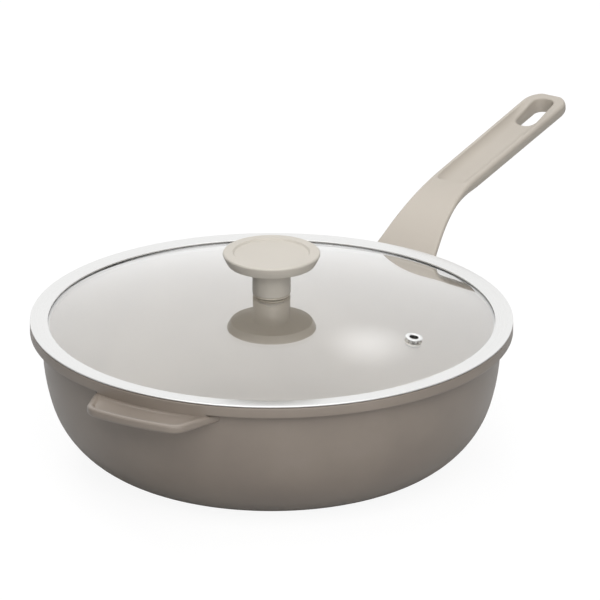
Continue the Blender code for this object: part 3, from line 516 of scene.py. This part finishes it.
def slot_outline(grow):
    """The slot's outline in the plane of the grip, grown by this much all round."""
    near, far = SLOT_NEAR_CORNER, SLOT_FAR_CORNER
    run = spread(near, SLOT_LENGTH - far, 6)[1:-1]
    outline = arc((near, SLOT_HALF_WIDTH - near), near + grow, 90, 180, 12)
    outline += arc((near, near - SLOT_HALF_WIDTH), near + grow, 180, 270, 12)
    outline += [(x, -SLOT_HALF_WIDTH - grow) for x in run]
    outline += arc((SLOT_LENGTH - far, far - SLOT_HALF_WIDTH), far + grow, 270, 360, 10)
    outline += arc((SLOT_LENGTH - far, SLOT_HALF_WIDTH - far), far + grow, 0, 90, 10)
    return outline + [(x, SLOT_HALF_WIDTH + grow) for x in run[::-1]]


def slot_ring(grow, height, upper):
    """The grown outline at a height over the grip's upper or under surface."""
    ring = []
    for along, y in slot_outline(grow):
        x = SLOT_START + along * math.cos(GRIP_ANGLE)
        half = half_width(x)
        if upper:
            surface = -channel_depth(x, y / (half - CHANNEL_RIM))
        else:
            surface = -GRIP_SIDE - GRIP_CROWN * tip_share(x) * math.sqrt(max(1 - (y / half) ** 2, 0.0))
        ring.append(tuple(SLOT_FRAME @ Vector((along, y, surface + height))))
    return ring


def slot_end(height):
    """A flat end of the cutter, clear of the grip."""
    return [tuple(SLOT_FRAME @ Vector((along, y, height))) for along, y in slot_outline(SLOT_MOUTH * 2)]


rounding = [math.radians(turn) for turn in (9, 25, 42, 62, 90)]
mouth = [(SLOT_MOUTH * 2, 0.0012), (SLOT_MOUTH * 1.3, 0.0002)]  # the cutter's growth, and height over the grip
mouth += [(SLOT_MOUTH * (1 - math.sin(t)), -SLOT_MOUTH * (1 - math.cos(t))) for t in rounding]
slot = lofted(
    "slot",
    [slot_end(SLOT_CLEAR)]
    + [slot_ring(grow, height, True) for grow, height in mouth]
    + [slot_ring(grow, -height, False) for grow, height in mouth[::-1]]
    + [slot_end(-GRIP_SIDE - GRIP_CROWN - SLOT_CLEAR)],
)
boolean(handle, slot, "DIFFERENCE")

# Foot of the handle.
# The foot is hollow for a boss on the pan's side, and one screw from below, sunk in a round well with a spring
# washer, pulls it on to that boss. The boss is cast with the pan.
BOSS_HALF_WIDTH = 0.0080
BOSS_TOP, BOSS_BOTTOM = -0.0040, -0.0100
BOSS_START, BOSS_END = -0.0100, 0.0170
BOSS_EDGE = 0.0010
BOSS_INLET = 0.0005  # the boss ends inside the wall, this far from its inner face
SCREW_AT = 0.0098
SCREW_WAY = 0.0023
WELL_RADIUS = 0.0048
WELL_FLOOR = 0.0018  # thickness of the moulding that the screw clamps
WELL_TOP = BOSS_BOTTOM - GAP - WELL_FLOOR
WELL_BOTTOM = -0.0200  # clear of the foot's underside
foot_top, _ = handle_top(WALL_RADIUS - RIM_RADIUS)
FOOT_FRAME = Matrix.Translation((WALL_RADIUS, 0, foot_top)) @ Matrix.Rotation(-ROOT_ANGLE, 4, "Y")


def foot_bar(name, clearance):
    """Bar along the foot, round edged, cut off upright inside the pan's wall."""
    low, high = BOSS_BOTTOM - clearance, BOSS_TOP + clearance
    start, end = BOSS_START, BOSS_END + clearance
    bpy.ops.object.select_all(action="DESELECT")
    bpy.ops.mesh.primitive_cube_add(
        size=1,
        location=((start + end) / 2, 0, (low + high) / 2),
        scale=(end - start, 2 * (BOSS_HALF_WIDTH + clearance), high - low),
    )
    bar = begin(name)
    bpy.ops.mesh.bevel(offset=BOSS_EDGE, segments=3)
    tidy(bar, place=FOOT_FRAME)
    bpy.ops.object.mode_set(mode="EDIT")
    bpy.ops.mesh.select_all(action="SELECT")
    cut_x = WALL_RADIUS - WALL + BOSS_INLET - 4 * clearance
    bpy.ops.mesh.bisect(plane_co=(cut_x, 0, 0), plane_no=(-1, 0, 0), clear_outer=True, use_fill=True)
    return tidy(bar)


def peg(name, radius, bottom, top, place, at=0.0, sides=32):
    """A plain round cutter along the place's upright axis."""
    bpy.ops.object.select_all(action="DESELECT")
    bpy.ops.mesh.primitive_cylinder_add(
        vertices=sides, radius=radius, depth=top - bottom, location=(at, 0, (top + bottom) / 2)
    )
    return tidy(begin(name), place=place)


boss = foot_bar("boss", 0.0)
screw_hole = peg("screw_hole", SCREW_WAY, BOSS_BOTTOM - OVERLAP, BOSS_TOP + OVERLAP, FOOT_FRAME, SCREW_AT)
boolean(boss, screw_hole, "DIFFERENCE")
boolean(pan, boss, "UNION")
boolean(handle, foot_bar("socket", GAP), "DIFFERENCE")
wall_room = [(0.0, -GAP)] + bowl_side(WALL_RADIUS + GAP, -GAP, SIDE_ARC + GAP, CORNER_ARC + GAP, RIM_HEIGHT)
boolean(handle, spun("wall_room", wall_room + [(0.0, RIM_HEIGHT)], 192), "DIFFERENCE")
screw_way = peg("screw_way", SCREW_WAY, WELL_TOP - 2 * OVERLAP, BOSS_BOTTOM + OVERLAP, FOOT_FRAME, SCREW_AT)
boolean(handle, screw_way, "DIFFERENCE")
boolean(handle, peg("well", WELL_RADIUS, WELL_BOTTOM, WELL_TOP, FOOT_FRAME, SCREW_AT, 48), "DIFFERENCE")
for piece in (pan, handle):
    take(piece)
    bpy.ops.object.shade_smooth_by_angle(angle=math.radians(40))
# Faces in the bowl take the paler coating, which is partly painted light.
for face in pan.data.polygons:
    inward = face.normal.z > 0.5 or face.normal.xy.dot(face.center.xy) < 0
    in_bowl = face.center.z > BASE - GAP and face.center.xy.length < SEAT_RADIUS - GAP
    face.material_index = 1 if inward and in_bowl else 0

# Beige moulding: a warm grey beige plastic with a soft-touch skin, matt, with hardly any gloss. Its tone
# changes faintly over 55 mm, and the fine grain of the mould is drawn at 0.4 mm, coarser than it is, so that it
# shows.
def beige_moulding(name, darker, paler):
    finish, tree, place = new_finish(name)
    haze = node(tree, "ShaderNodeTexNoise", Vector=place, Scale=18, Detail=3)
    grain = node(tree, "ShaderNodeTexNoise", Vector=place, Scale=2600, Detail=2)
    shader = node(
        tree,
        "ShaderNodeBsdfPrincipled",
        Base_Color=node(tree, "ShaderNodeValToRGB", stops=((0.3, darker), (0.7, paler)), Fac=haze),
        Roughness=node(tree, "ShaderNodeValToRGB", stops=((0.2, 0.40), (0.8, 0.50)), Fac=haze),
        Specular_IOR_Level=0.75,
        Normal=node(tree, "ShaderNodeBump", Height=grain, Distance=0.000015, Strength=0.4),
    )
    node(tree, "ShaderNodeOutputMaterial", Surface=shader)
    return finish


dress(handle, beige_moulding("beige_soft_touch_moulding", "#ada59a", "#b4aca1"))
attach(handle, "pan")
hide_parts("handle")

# Lid glass.
# A shallow dome of clear tempered glass, 4 mm thick, with a flame-rounded edge, a hole at its middle for the
# knob's screw and a small one for the steam vent. Its polish mirrors the knob and the handle's foot.
_, glass_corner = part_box("lid_glass")
knob_low, knob_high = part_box("knob")
GLASS = 0.0040
GLASS_EDGE = glass_corner.y
BRIM_TOP = RIM_HEIGHT
FLANGE_WIDTH = 0.0107
FLANGE_INNER = RIM_RADIUS - FLANGE_WIDTH
DOME_RISE = 0.0173
DOME_RADIUS = (FLANGE_INNER**2 + DOME_RISE**2) / (2 * DOME_RISE)
APEX = BRIM_TOP + DOME_RISE
DOME_CENTRE = APEX - DOME_RADIUS
GLASS_HOLE = 0.0050
VENT_BORE = 0.0027
VENT_SHEET = 0.0005
VENT_TUBE = VENT_BORE + VENT_SHEET
VENT_INSET = 0.0353  # how far inside the steel ring the vent's middle lies
VENT_DISTANCE = FLANGE_INNER - VENT_INSET
VENT_FRAME = (
    Matrix.Translation((0, 0, DOME_CENTRE))
    @ Matrix.Rotation(math.asin(VENT_DISTANCE / DOME_RADIUS), 4, "X")
    @ Matrix.Translation((0, 0, DOME_RADIUS))
)


def dome(radius, edge_height, steps):
    """Points of the dome from its apex down to edge_height."""
    edge = math.degrees(math.asin((edge_height - DOME_CENTRE) / radius))
    return [(max(r, 0.0), z) for r, z in arc((0, DOME_CENTRE), radius, 90, edge, steps)]


glass = spun(
    "lid_dome",
    dome(DOME_RADIUS - GLASS, BRIM_TOP - GLASS, 40)
    + arc((GLASS_EDGE - GLASS / 2, BRIM_TOP - GLASS / 2), GLASS / 2, -90, 90, 10)
    + dome(DOME_RADIUS, BRIM_TOP, 40)[::-1],
    steps=192,
    sharp=50,
)
hole_bottom = -GLASS - 2 * OVERLAP
knob_hole = peg("knob_hole", GLASS_HOLE, hole_bottom, OVERLAP, Matrix.Translation((0, 0, APEX)))
boolean(glass, knob_hole, "DIFFERENCE")
boolean(glass, peg("vent_hole", VENT_TUBE + GAP, hole_bottom, OVERLAP, VENT_FRAME), "DIFFERENCE")
take(glass)
bpy.ops.object.shade_smooth_by_angle(angle=math.radians(50))

# Tempered glass: nearly colourless and smooth, with the slight ripple, 33 mm long, that its hot bending leaves.
# Its outer face mirrors the tent, the knob and the handle's foot strongly, and its inner face faintly, so that
# one clear image is seen. Lamps pass straight through it, so that the pan below stays lit.
def clear_glass(name, **mirroring):
    finish, tree, place = new_finish(name)
    ripple = node(tree, "ShaderNodeTexNoise", Vector=place, Scale=30, Detail=1)
    shader = node(
        tree,
        "ShaderNodeBsdfPrincipled",
        Base_Color=linear("#fdfdfc"),
        Roughness=0.0,
        IOR=1.45,
        Transmission_Weight=1.0,
        Normal=node(tree, "ShaderNodeBump", Height=ripple, Distance=0.00002, Strength=0.3),
        **mirroring,
    )
    in_shadow = node(tree, "ShaderNodeLightPath").outputs["Is Shadow Ray"]
    see_through = node(tree, "ShaderNodeBsdfTransparent", Color=linear("#fcfcfb"))
    way = node(tree, "ShaderNodeMixShader", Fac=in_shadow, Shader=shader, Shader_001=see_through)
    node(tree, "ShaderNodeOutputMaterial", Surface=way)
    return finish


dress(glass, clear_glass("tempered_glass", Coat_Weight=1.0, Coat_IOR=3.05, Coat_Roughness=0.02))
glass.data.materials.append(clear_glass("tempered_glass_inside"))
for face in glass.data.polygons:
    face.material_index = 1 if face.normal.z < 0 else 0
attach(glass, "lid")
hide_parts("lid_glass")

# Lid rim.
# A stainless steel band rolled round the glass: a wide flat flange on top, a web down inside the pan's seat, a
# lip under the glass and a short skirt that centres the lid.
FLANGE = 0.0010
SHEET = 0.0005
ROLL = 0.00045
FLANGE_FALL = 0.0002  # the flange sinks by this much towards the glass
FLANGE_ROLL = 0.0002
FLANGE_BOTTOM = RIM_HEIGHT + GAP
FLANGE_TOP = FLANGE_BOTTOM + FLANGE
WEB_PLAY, SKIRT_PLAY = 0.0004, 0.0005  # clearances to the pan's seat and wall
WEB_OUTER = SEAT_RADIUS - WEB_PLAY
LIP_TOP = BRIM_TOP - GLASS - GAP
LIP_BOTTOM = LIP_TOP - SHEET
SKIRT_OUTER = WALL_RADIUS - WALL - SKIRT_PLAY
SKIRT_LENGTH = 0.0012
SKIRT_END = LIP_BOTTOM - SKIRT_LENGTH
FALL_SHARES = spread(0.375, 0.875, 4)  # of the flange's run inwards, where its fall is drawn
flange_run = RIM_RADIUS - 2 * ROLL - FLANGE_INNER
rim = spun(
    "lid_band",
    [
        (SKIRT_OUTER - SHEET, SKIRT_END),
        (SKIRT_OUTER, SKIRT_END),
        (SKIRT_OUTER, LIP_BOTTOM),
        (WEB_OUTER - SHEET, LIP_BOTTOM),
        (WEB_OUTER, LIP_BOTTOM + SHEET),
        (WEB_OUTER, FLANGE_BOTTOM),
    ]
    + arc((RIM_RADIUS - ROLL, FLANGE_BOTTOM + ROLL), ROLL, -90, 0, 4)
    + arc((RIM_RADIUS - ROLL, FLANGE_TOP - ROLL), ROLL, 0, 90, 4)
    + [(RIM_RADIUS - ROLL - flange_run * s, FLANGE_TOP - FLANGE_FALL * s**2) for s in FALL_SHARES]
    + arc((FLANGE_INNER + FLANGE_ROLL, FLANGE_TOP - FLANGE_FALL - FLANGE_ROLL), FLANGE_ROLL, 90, 180, 4)
    + [
        (FLANGE_INNER, FLANGE_BOTTOM),
        (WEB_OUTER - SHEET, FLANGE_BOTTOM),
        (WEB_OUTER - SHEET, LIP_TOP),
        (SKIRT_OUTER - SHEET, LIP_TOP),
    ],
    steps=192,
    closed=True,
)


def lathed_metal(name, tones, gloss, lines):
    """Metal turned or rolled about the upright axis: fine rings in its tone, gloss and relief."""
    finish, tree, place = new_finish(name)
    level = node(tree, "ShaderNodeVectorMath", {"operation": "MULTIPLY"}, Vector=place, Vector_001=(1, 1, 0))
    reach = node(tree, "ShaderNodeVectorMath", {"operation": "LENGTH"}, Vector=level).outputs["Value"]
    rings = node(tree, "ShaderNodeTexNoise", {"noise_dimensions": "1D"}, W=reach, Scale=lines, Detail=3)
    shader = node(
        tree,
        "ShaderNodeBsdfPrincipled",
        Base_Color=node(tree, "ShaderNodeValToRGB", stops=tuple(zip((0.3, 0.7), tones)), Fac=rings),
        Roughness=node(tree, "ShaderNodeValToRGB", stops=tuple(zip((0.3, 0.7), gloss)), Fac=rings),
        Metallic=1.0,
        Normal=node(tree, "ShaderNodeBump", Height=rings, Distance=0.000004, Strength=0.3),
    )
    node(tree, "ShaderNodeOutputMaterial", Surface=shader)
    return finish


# Satin stainless steel, polished as it turns: near white, with a soft sheen. The rings of the polishing wheel
# are drawn at 0.4 mm, coarser than they are, so that they show.
stainless = lathed_metal("satin_stainless_steel", ("#e0e0df", "#e7e7e6"), (0.26, 0.34), 2600)
dress(rim, stainless)
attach(rim, "lid")
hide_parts("lid_rim")

# Steam vent.
# A steel eyelet flanged over the glass above and below, on a notched collar above and a silicone gasket below,
# so that steam leaves through its bore and under its notches.
VENT_FLANGE = 0.0053
VENT_FLANGE_THICKNESS = 0.0006
VENT_FOOT = 0.0050
VENT_ROLL = 0.0003
COLLAR_RADIUS = 0.0050
COLLAR_HEIGHT = 0.0008
COLLAR_TEETH = 9
COLLAR_NOTCH = 0.0012
NOTCH_SHARE = 0.45  # of each tooth's pitch
COLLAR_SEAT = 0.0001
VENT_GASKET = 0.0006
flange_under = 2 * COLLAR_SEAT + COLLAR_HEIGHT
flange_top = flange_under + VENT_FLANGE_THICKNESS
lower_flange_top = -GLASS - 2 * GAP - VENT_GASKET
lower_flange_bottom = lower_flange_top - VENT_SHEET
eyelet = spun(
    "vent_eyelet_polished",
    [
        (VENT_BORE, lower_flange_bottom),
        (VENT_FOOT, lower_flange_bottom),
        (VENT_FOOT, lower_flange_top),
        (VENT_TUBE, lower_flange_top),
        (VENT_TUBE, flange_under),
    ]
    + arc((VENT_FLANGE - VENT_ROLL, flange_under + VENT_ROLL), VENT_ROLL, -90, 0, 4)
    + arc((VENT_FLANGE - VENT_ROLL, flange_top - VENT_ROLL), VENT_ROLL, 0, 90, 4)
    + arc((VENT_BORE + VENT_ROLL, flange_top - VENT_ROLL), VENT_ROLL, 90, 180, 4),
    steps=64,
    closed=True,
    place=VENT_FRAME,
)
collar = spun(
    "vent_collar_notched",
    [
        (VENT_TUBE + COLLAR_SEAT, COLLAR_SEAT),
        (COLLAR_RADIUS, COLLAR_SEAT),
        (COLLAR_RADIUS, COLLAR_SEAT + COLLAR_HEIGHT),
        (VENT_TUBE + COLLAR_SEAT, COLLAR_SEAT + COLLAR_HEIGHT),
    ],
    steps=COLLAR_TEETH * 16,
    closed=True,
    sharp=30,
)
for corner in collar.data.vertices:
    turn = math.atan2(corner.co.y, corner.co.x) / math.tau * COLLAR_TEETH
    if corner.co.xy.length > COLLAR_RADIUS - COLLAR_NOTCH / 2 and turn % 1 < NOTCH_SHARE:
        corner.co.xy *= (COLLAR_RADIUS - COLLAR_NOTCH) / COLLAR_RADIUS
collar.data.transform(VENT_FRAME)


def plain_metal(name, tones, gloss, cells, depth, strength):
    """Metal with a slight unevenness, of so many cells a metre, in its tone, gloss and relief."""
    finish, tree, place = new_finish(name)
    haze = node(tree, "ShaderNodeTexNoise", Vector=place, Scale=cells, Detail=3)
    shader = node(
        tree,
        "ShaderNodeBsdfPrincipled",
        Base_Color=node(tree, "ShaderNodeValToRGB", stops=tuple(zip((0.3, 0.7), tones)), Fac=haze),
        Roughness=node(tree, "ShaderNodeValToRGB", stops=tuple(zip((0.3, 0.7), gloss)), Fac=haze),
        Metallic=1.0,
        Normal=node(tree, "ShaderNodeBump", Height=haze, Distance=depth, Strength=strength),
    )
    node(tree, "ShaderNodeOutputMaterial", Surface=shader)
    return finish


# Polished stainless steel: brighter and smoother than the ring, with a breath of unevenness 2 mm wide.
polished = plain_metal("polished_stainless_steel", ("#dcdcdc", "#e6e6e5"), (0.10, 0.18), 500, 0.000003, 0.2)
rim.data.materials.append(polished)
for face in rim.data.polygons:
    if face.center.xy.length < FLANGE_INNER + FLANGE_ROLL and face.center.z > FLANGE_BOTTOM:
        face.material_index = 1
for piece, cad_node in ((eyelet, "vent_eyelet"), (collar, "vent_collar")):
    dress(piece, polished)
    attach(piece, "lid")
    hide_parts(cad_node)

# Knob.
# A mushroom of the handle's moulding, a shade paler: a round stem, and a disc with a rounded, sloping side and
# a shallow round recess in its top. A brass insert inside it takes the screw.
KNOB_RADIUS = knob_high.x
KNOB_TOP = knob_high.z
KNOB_FOOT = knob_low.z
DISC_HEIGHT = 0.0072
DISC_BOTTOM = KNOB_TOP - DISC_HEIGHT
DISC_FOOT_RADIUS = 0.0264
DISC_BELLY = 0.0300
DISC_EDGE = 0.0012
DISC_UNDER_EDGE = 0.0008
RECESS_RADIUS = 0.0230
RECESS_DEPTH = 0.0012
RECESS_SLOPE = 0.0010
RECESS_EDGE = 0.0005
STEM_RADIUS = 0.0115
STEM_FILLET = 0.0015
STEM_EDGE = 0.0004
INSERT_RADIUS, INSERT_LIFT, INSERT_LENGTH = 0.0040, 0.0005, 0.0110
BORE_TOP = KNOB_FOOT + INSERT_LIFT + INSERT_LENGTH + GAP
rise, run = DISC_HEIGHT - DISC_EDGE, KNOB_RADIUS - DISC_FOOT_RADIUS
chord = math.hypot(rise, run)
back = math.sqrt(DISC_BELLY**2 - (chord / 2) ** 2)
belly_centre = (
    (KNOB_RADIUS + DISC_FOOT_RADIUS) / 2 - back * rise / chord,
    DISC_BOTTOM + rise / 2 + back * run / chord,
)
belly_start = math.degrees(math.atan2(DISC_BOTTOM - belly_centre[1], DISC_FOOT_RADIUS - belly_centre[0]))
belly_end = math.degrees(math.atan2(DISC_BOTTOM + rise - belly_centre[1], KNOB_RADIUS - belly_centre[0]))
recess_floor = KNOB_TOP - RECESS_DEPTH
knob = spun(
    "knob_moulding",
    [(0.0, BORE_TOP), (INSERT_RADIUS + GAP, BORE_TOP), (INSERT_RADIUS + GAP, KNOB_FOOT)]
    + arc((STEM_RADIUS - STEM_EDGE, KNOB_FOOT + STEM_EDGE), STEM_EDGE, -90, 0, 4)
    + arc((STEM_RADIUS + STEM_FILLET, DISC_BOTTOM - STEM_FILLET), STEM_FILLET, 180, 90, 8)
    + [(DISC_FOOT_RADIUS - DISC_UNDER_EDGE, DISC_BOTTOM)]
    + arc(belly_centre, DISC_BELLY, belly_start, belly_end, 12)
    + arc((KNOB_RADIUS - DISC_EDGE, KNOB_TOP - DISC_EDGE), DISC_EDGE, 0, 90, 8)[1:]
    + arc((RECESS_RADIUS + RECESS_EDGE, KNOB_TOP - RECESS_EDGE), RECESS_EDGE, 90, 150, 4)
    + arc((RECESS_RADIUS - RECESS_SLOPE, recess_floor + RECESS_EDGE), RECESS_EDGE, -30, -90, 4)
    + [(0.0, recess_floor)],
    steps=128,
    sharp=45,
)
pale_moulding = beige_moulding("pale_beige_moulding", "#bcb6ac", "#c3bdb3")
dress(knob, pale_moulding)
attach(knob, "lid")
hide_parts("knob")

# Knob gasket.
# A thin ring of silicone between the stem and the glass, a little narrower than the stem. It keeps water out
# of the screw's hole. Its tone is drawn paler than the grey silicone is, as painted light that lifts the shade
# in the gap between the stem and the glass.
gasket_low, gasket_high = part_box("knob_gasket_upper")
GASKET_EDGE = 0.0002
gasket_reach = gasket_high.x
gasket = spun(
    "knob_gasket_ring",
    [(GLASS_HOLE, gasket_low.z)]
    + arc((gasket_reach - GASKET_EDGE, gasket_low.z + GASKET_EDGE), GASKET_EDGE, -90, 0, 3)
    + arc((gasket_reach - GASKET_EDGE, gasket_high.z - GASKET_EDGE), GASKET_EDGE, 0, 90, 3)
    + [(GLASS_HOLE, gasket_high.z)],
    steps=96,
    closed=True,
)

# Silicone, moulded: a warm grey drawn pale, dusty matt, uneven in tone over 3 mm. The pale tone is partly
# painted light, lifting the shade in the gap under the knob's stem. The skin of the mould is drawn at 0.3 mm,
# coarser than it is, so that it shows.
silicone, tree, place = new_finish("grey_silicone")
haze = node(tree, "ShaderNodeTexNoise", Vector=place, Scale=300, Detail=4)
skin = node(tree, "ShaderNodeTexNoise", Vector=place, Scale=3000, Detail=2)
shader = node(
    tree,
    "ShaderNodeBsdfPrincipled",
    Base_Color=node(tree, "ShaderNodeValToRGB", stops=((0.3, "#c6beb1"), (0.7, "#cec6b9")), Fac=haze),
    Roughness=node(tree, "ShaderNodeValToRGB", stops=((0.3, 0.55), (0.7, 0.7)), Fac=haze),
    Specular_IOR_Level=0.3,
    Normal=node(tree, "ShaderNodeBump", Height=skin, Distance=0.00001, Strength=0.5),
)
node(tree, "ShaderNodeOutputMaterial", Surface=shader)
# The gasket's pale tone is painted light against the shade under the knob's stem.
dress(gasket, silicone)
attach(gasket, "lid")
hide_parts("knob_gasket_upper")

# Fixings and inner pieces.
# These keep their CAD shape: the plate in the base, the handle's screw and spring washer, and under the knob
# the brass insert, bush, washer and screw. Only their metal or rubber is set here.

# Ferritic steel, turned: greyer and duller than stainless, with turning rings 0.7 mm apart. Zinc-plated steel:
# a cool pale grey. Machined brass: a warm yellow. The last two are uneven in tone and gloss over 1.4 mm.
ferritic = lathed_metal("ferritic_steel", ("#a9a9a8", "#bcbcba"), (0.34, 0.46), 1500)
zinc_plated = plain_metal("zinc_plated_steel", ("#b4b6b8", "#c8c9c6"), (0.26, 0.42), 700, 0.000004, 0.3)
brass = plain_metal("machined_brass", ("#c8a254", "#d8b86c"), (0.22, 0.34), 700, 0.000004, 0.3)
for cad_node, finish in (
    ("induction_plate", ferritic),
    ("knob_screw", stainless),
    ("knob_washer", stainless),
    ("knob_bush", silicone),
    ("vent_gasket", silicone),
    ("handle_screw", zinc_plated),
    ("handle_spring_washer", zinc_plated),
    ("knob_insert", brass),
):
    dress(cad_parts[cad_node], finish)

# Floor.
# A round sheet of white paper, white to the eye, on which the pan leaves a faint soft shadow. It is small
# enough that its edge, which the glass mirrors, stays lit.
FLOOR_RADIUS, FLOOR_DROP = 1.05, 0.0002
bpy.ops.object.select_all(action="DESELECT")
bpy.ops.mesh.primitive_circle_add(
    vertices=96, radius=FLOOR_RADIUS, fill_type="NGON", location=(0, 0, -FLOOR_DROP)
)
floor_sheet = tidy(begin("floor"))
paper = bpy.data.materials.new("white_paper")
paper.use_nodes = True
tree = paper.node_tree
tree.nodes.clear()
ray = node(tree, "ShaderNodeLightPath").outputs
seen = node(
    tree,
    "ShaderNodeMath",
    {"operation": "MAXIMUM"},
    Value=ray["Is Camera Ray"],
    Value_001=ray["Is Transmission Ray"],
)
lit = node(tree, "ShaderNodeBsdfDiffuse", Color=(0.55, 0.55, 0.55, 1))
faint = node(tree, "ShaderNodeBsdfDiffuse", Color=(0.12, 0.12, 0.12, 1))
white = node(tree, "ShaderNodeEmission", Color=(0.91, 0.91, 0.91, 1), Strength=1.0)
part_lit = node(tree, "ShaderNodeAddShader", Shader=white, Shader_001=faint)
sheet = node(tree, "ShaderNodeMixShader", Fac=seen, Shader=lit, Shader_001=part_lit)
node(tree, "ShaderNodeOutputMaterial", Surface=sheet)
dress(floor_sheet, paper)

# Studio light.
# A white tent round the object, and soft boxes above it, behind it, in front of it and low to the camera's
# right. BACK points from the object to the camera, and RIGHT and UP lie in the picture.
TARGET = Vector((0.0122, -0.0126, 0.0997))
BACK = Vector((-0.80144, -0.47819, 0.35920)).normalized()
RIGHT = Vector((-BACK.y, BACK.x, 0.0)).normalized()
UP = BACK.cross(RIGHT)


def soft_box(name, right, up, back, width, height, watts):
    """A rectangular lamp facing the pan, placed by metres to the right, up and back from it."""
    lamp = bpy.data.lights.new(name, "AREA")
    lamp.shape = "RECTANGLE"
    lamp.size = width
    lamp.size_y = height
    lamp.energy = watts
    made = bpy.data.objects.new(name, lamp)
    level_back = Vector((BACK.x, BACK.y, 0)).normalized()
    made.location = RIGHT * right + level_back * back + Vector((0, 0, up))
    made.rotation_euler = (TARGET - made.location).to_track_quat("-Z", "Y").to_euler()
    made.visible_camera = False
    made.visible_glossy = False
    made.visible_transmission = False
    bpy.context.scene.collection.objects.link(made)


soft_box("top_box", -0.2, 1.9, -0.1, 1.4, 1.4, 6)
soft_box("back_box", -0.5, 1.5, -1.3, 1.2, 1.0, 15.5)
soft_box("front_box", 0.2, 1.5, 1.4, 1.6, 1.4, 22)
soft_box("low_box", 0.7, 0.8, 2.0, 1.6, 1.2, 15)

# The tent is plain white to the eye. What metal and glass mirror of it is a little greyer overhead, bright
# straight above, and brighter in one soft patch high behind the pan, which the lid shows as a glow. It dims low
# down at both sides, which draws the dark line in the steel ring. As a lamp it is weaker from the sides.
SOFT = {"interpolation_type": "SMOOTHSTEP"}
PATCH_PLACE, PATCH_SIZE = (0.106, 0.566, 0), (0.058, 0.108, 1)  # as (to the right, up) of a direction
world = bpy.data.worlds.new("white_tent")
bpy.context.scene.world = world
world.use_nodes = True
tree = world.node_tree
tree.nodes.clear()
aim = node(tree, "ShaderNodeTexCoord").outputs["Generated"]
height = node(tree, "ShaderNodeSeparateXYZ", Vector=aim).outputs["Z"]
across = node(
    tree, "ShaderNodeVectorMath", {"operation": "DOT_PRODUCT"}, Vector=aim, Vector_001=RIGHT
).outputs["Value"]
aside = node(tree, "ShaderNodeMath", {"operation": "ABSOLUTE"}, Value=across)

spot = node(tree, "ShaderNodeCombineXYZ", X=across, Y=height)
off_patch = node(tree, "ShaderNodeVectorMath", {"operation": "SUBTRACT"}, Vector=spot, Vector_001=PATCH_PLACE)
scaled = node(tree, "ShaderNodeVectorMath", {"operation": "DIVIDE"}, Vector=off_patch, Vector_001=PATCH_SIZE)
far = node(tree, "ShaderNodeVectorMath", {"operation": "LENGTH"}, Vector=scaled).outputs["Value"]
glow = node(tree, "ShaderNodeMapRange", SOFT, Value=far, From_Min=0.0, From_Max=1.0, To_Min=0.58, To_Max=0.0)

zenith = node(
    tree, "ShaderNodeMapRange", SOFT, Value=height, From_Min=0.82, From_Max=0.97, To_Min=0.0, To_Max=2.0
)
patches = node(tree, "ShaderNodeMath", {"operation": "ADD"}, Value=zenith, Value_001=glow)
roof = node(tree, "ShaderNodeMapRange", Value=height, From_Min=0.5, From_Max=0.8, To_Min=1.12, To_Max=0.92)
mirrored = node(tree, "ShaderNodeMath", {"operation": "ADD"}, Value=roof, Value_001=patches)

beside = node(
    tree, "ShaderNodeMapRange", SOFT, Value=aside, From_Min=0.62, From_Max=0.92, To_Min=0.0, To_Max=1.0
)
below = node(
    tree, "ShaderNodeMapRange", SOFT, Value=height, From_Min=0.15, From_Max=0.55, To_Min=0.92, To_Max=0.0
)
dusk = node(tree, "ShaderNodeMath", {"operation": "MULTIPLY"}, Value=beside, Value_001=below)
left_over = node(tree, "ShaderNodeMapRange", Value=dusk, To_Min=1.0, To_Max=0.0)
dimmed = node(tree, "ShaderNodeMath", {"operation": "MULTIPLY"}, Value=mirrored, Value_001=left_over)
flank = node(
    tree, "ShaderNodeMapRange", SOFT, Value=aside, From_Min=0.15, From_Max=0.90, To_Min=0.46, To_Max=0.07
)

as_lamp = node(tree, "ShaderNodeBackground", Color=(1, 1, 1, 1), Strength=flank)
as_mirrored = node(tree, "ShaderNodeBackground", Color=(1, 1, 1, 1), Strength=dimmed)
as_seen = node(tree, "ShaderNodeBackground", Color=(1, 1, 1, 1), Strength=1.0)
ray = node(tree, "ShaderNodeLightPath").outputs
unseen = node(
    tree, "ShaderNodeMixShader", Fac=ray["Is Glossy Ray"], Shader=as_lamp, Shader_001=as_mirrored
)
seen = node(
    tree,
    "ShaderNodeMath",
    {"operation": "MAXIMUM"},
    Value=ray["Is Camera Ray"],
    Value_001=ray["Is Transmission Ray"],
)
tent = node(tree, "ShaderNodeMixShader", Fac=seen, Shader=unseen, Shader_001=as_seen)
node(tree, "ShaderNodeOutputWorld", Surface=tent)

# Camera.
# A long lens far away, as in the photograph, looking down on the lid from the ear's side.
DISTANCE = 16.0
PICTURE_WIDTH = 0.36  # at the target
SENSOR = 36
camera = bpy.data.cameras.new("camera")
camera.sensor_width = SENSOR
camera.lens = SENSOR * DISTANCE / PICTURE_WIDTH
camera.clip_end = 60
camera_object = bpy.data.objects.new("camera", camera)
camera_object.location = TARGET + BACK * DISTANCE
camera_object.rotation_euler = Matrix((RIGHT, UP, BACK)).transposed().to_euler()
bpy.context.scene.collection.objects.link(camera_object)
bpy.context.scene.camera = camera_object
bpy.context.scene.view_settings.view_transform = "Standard"
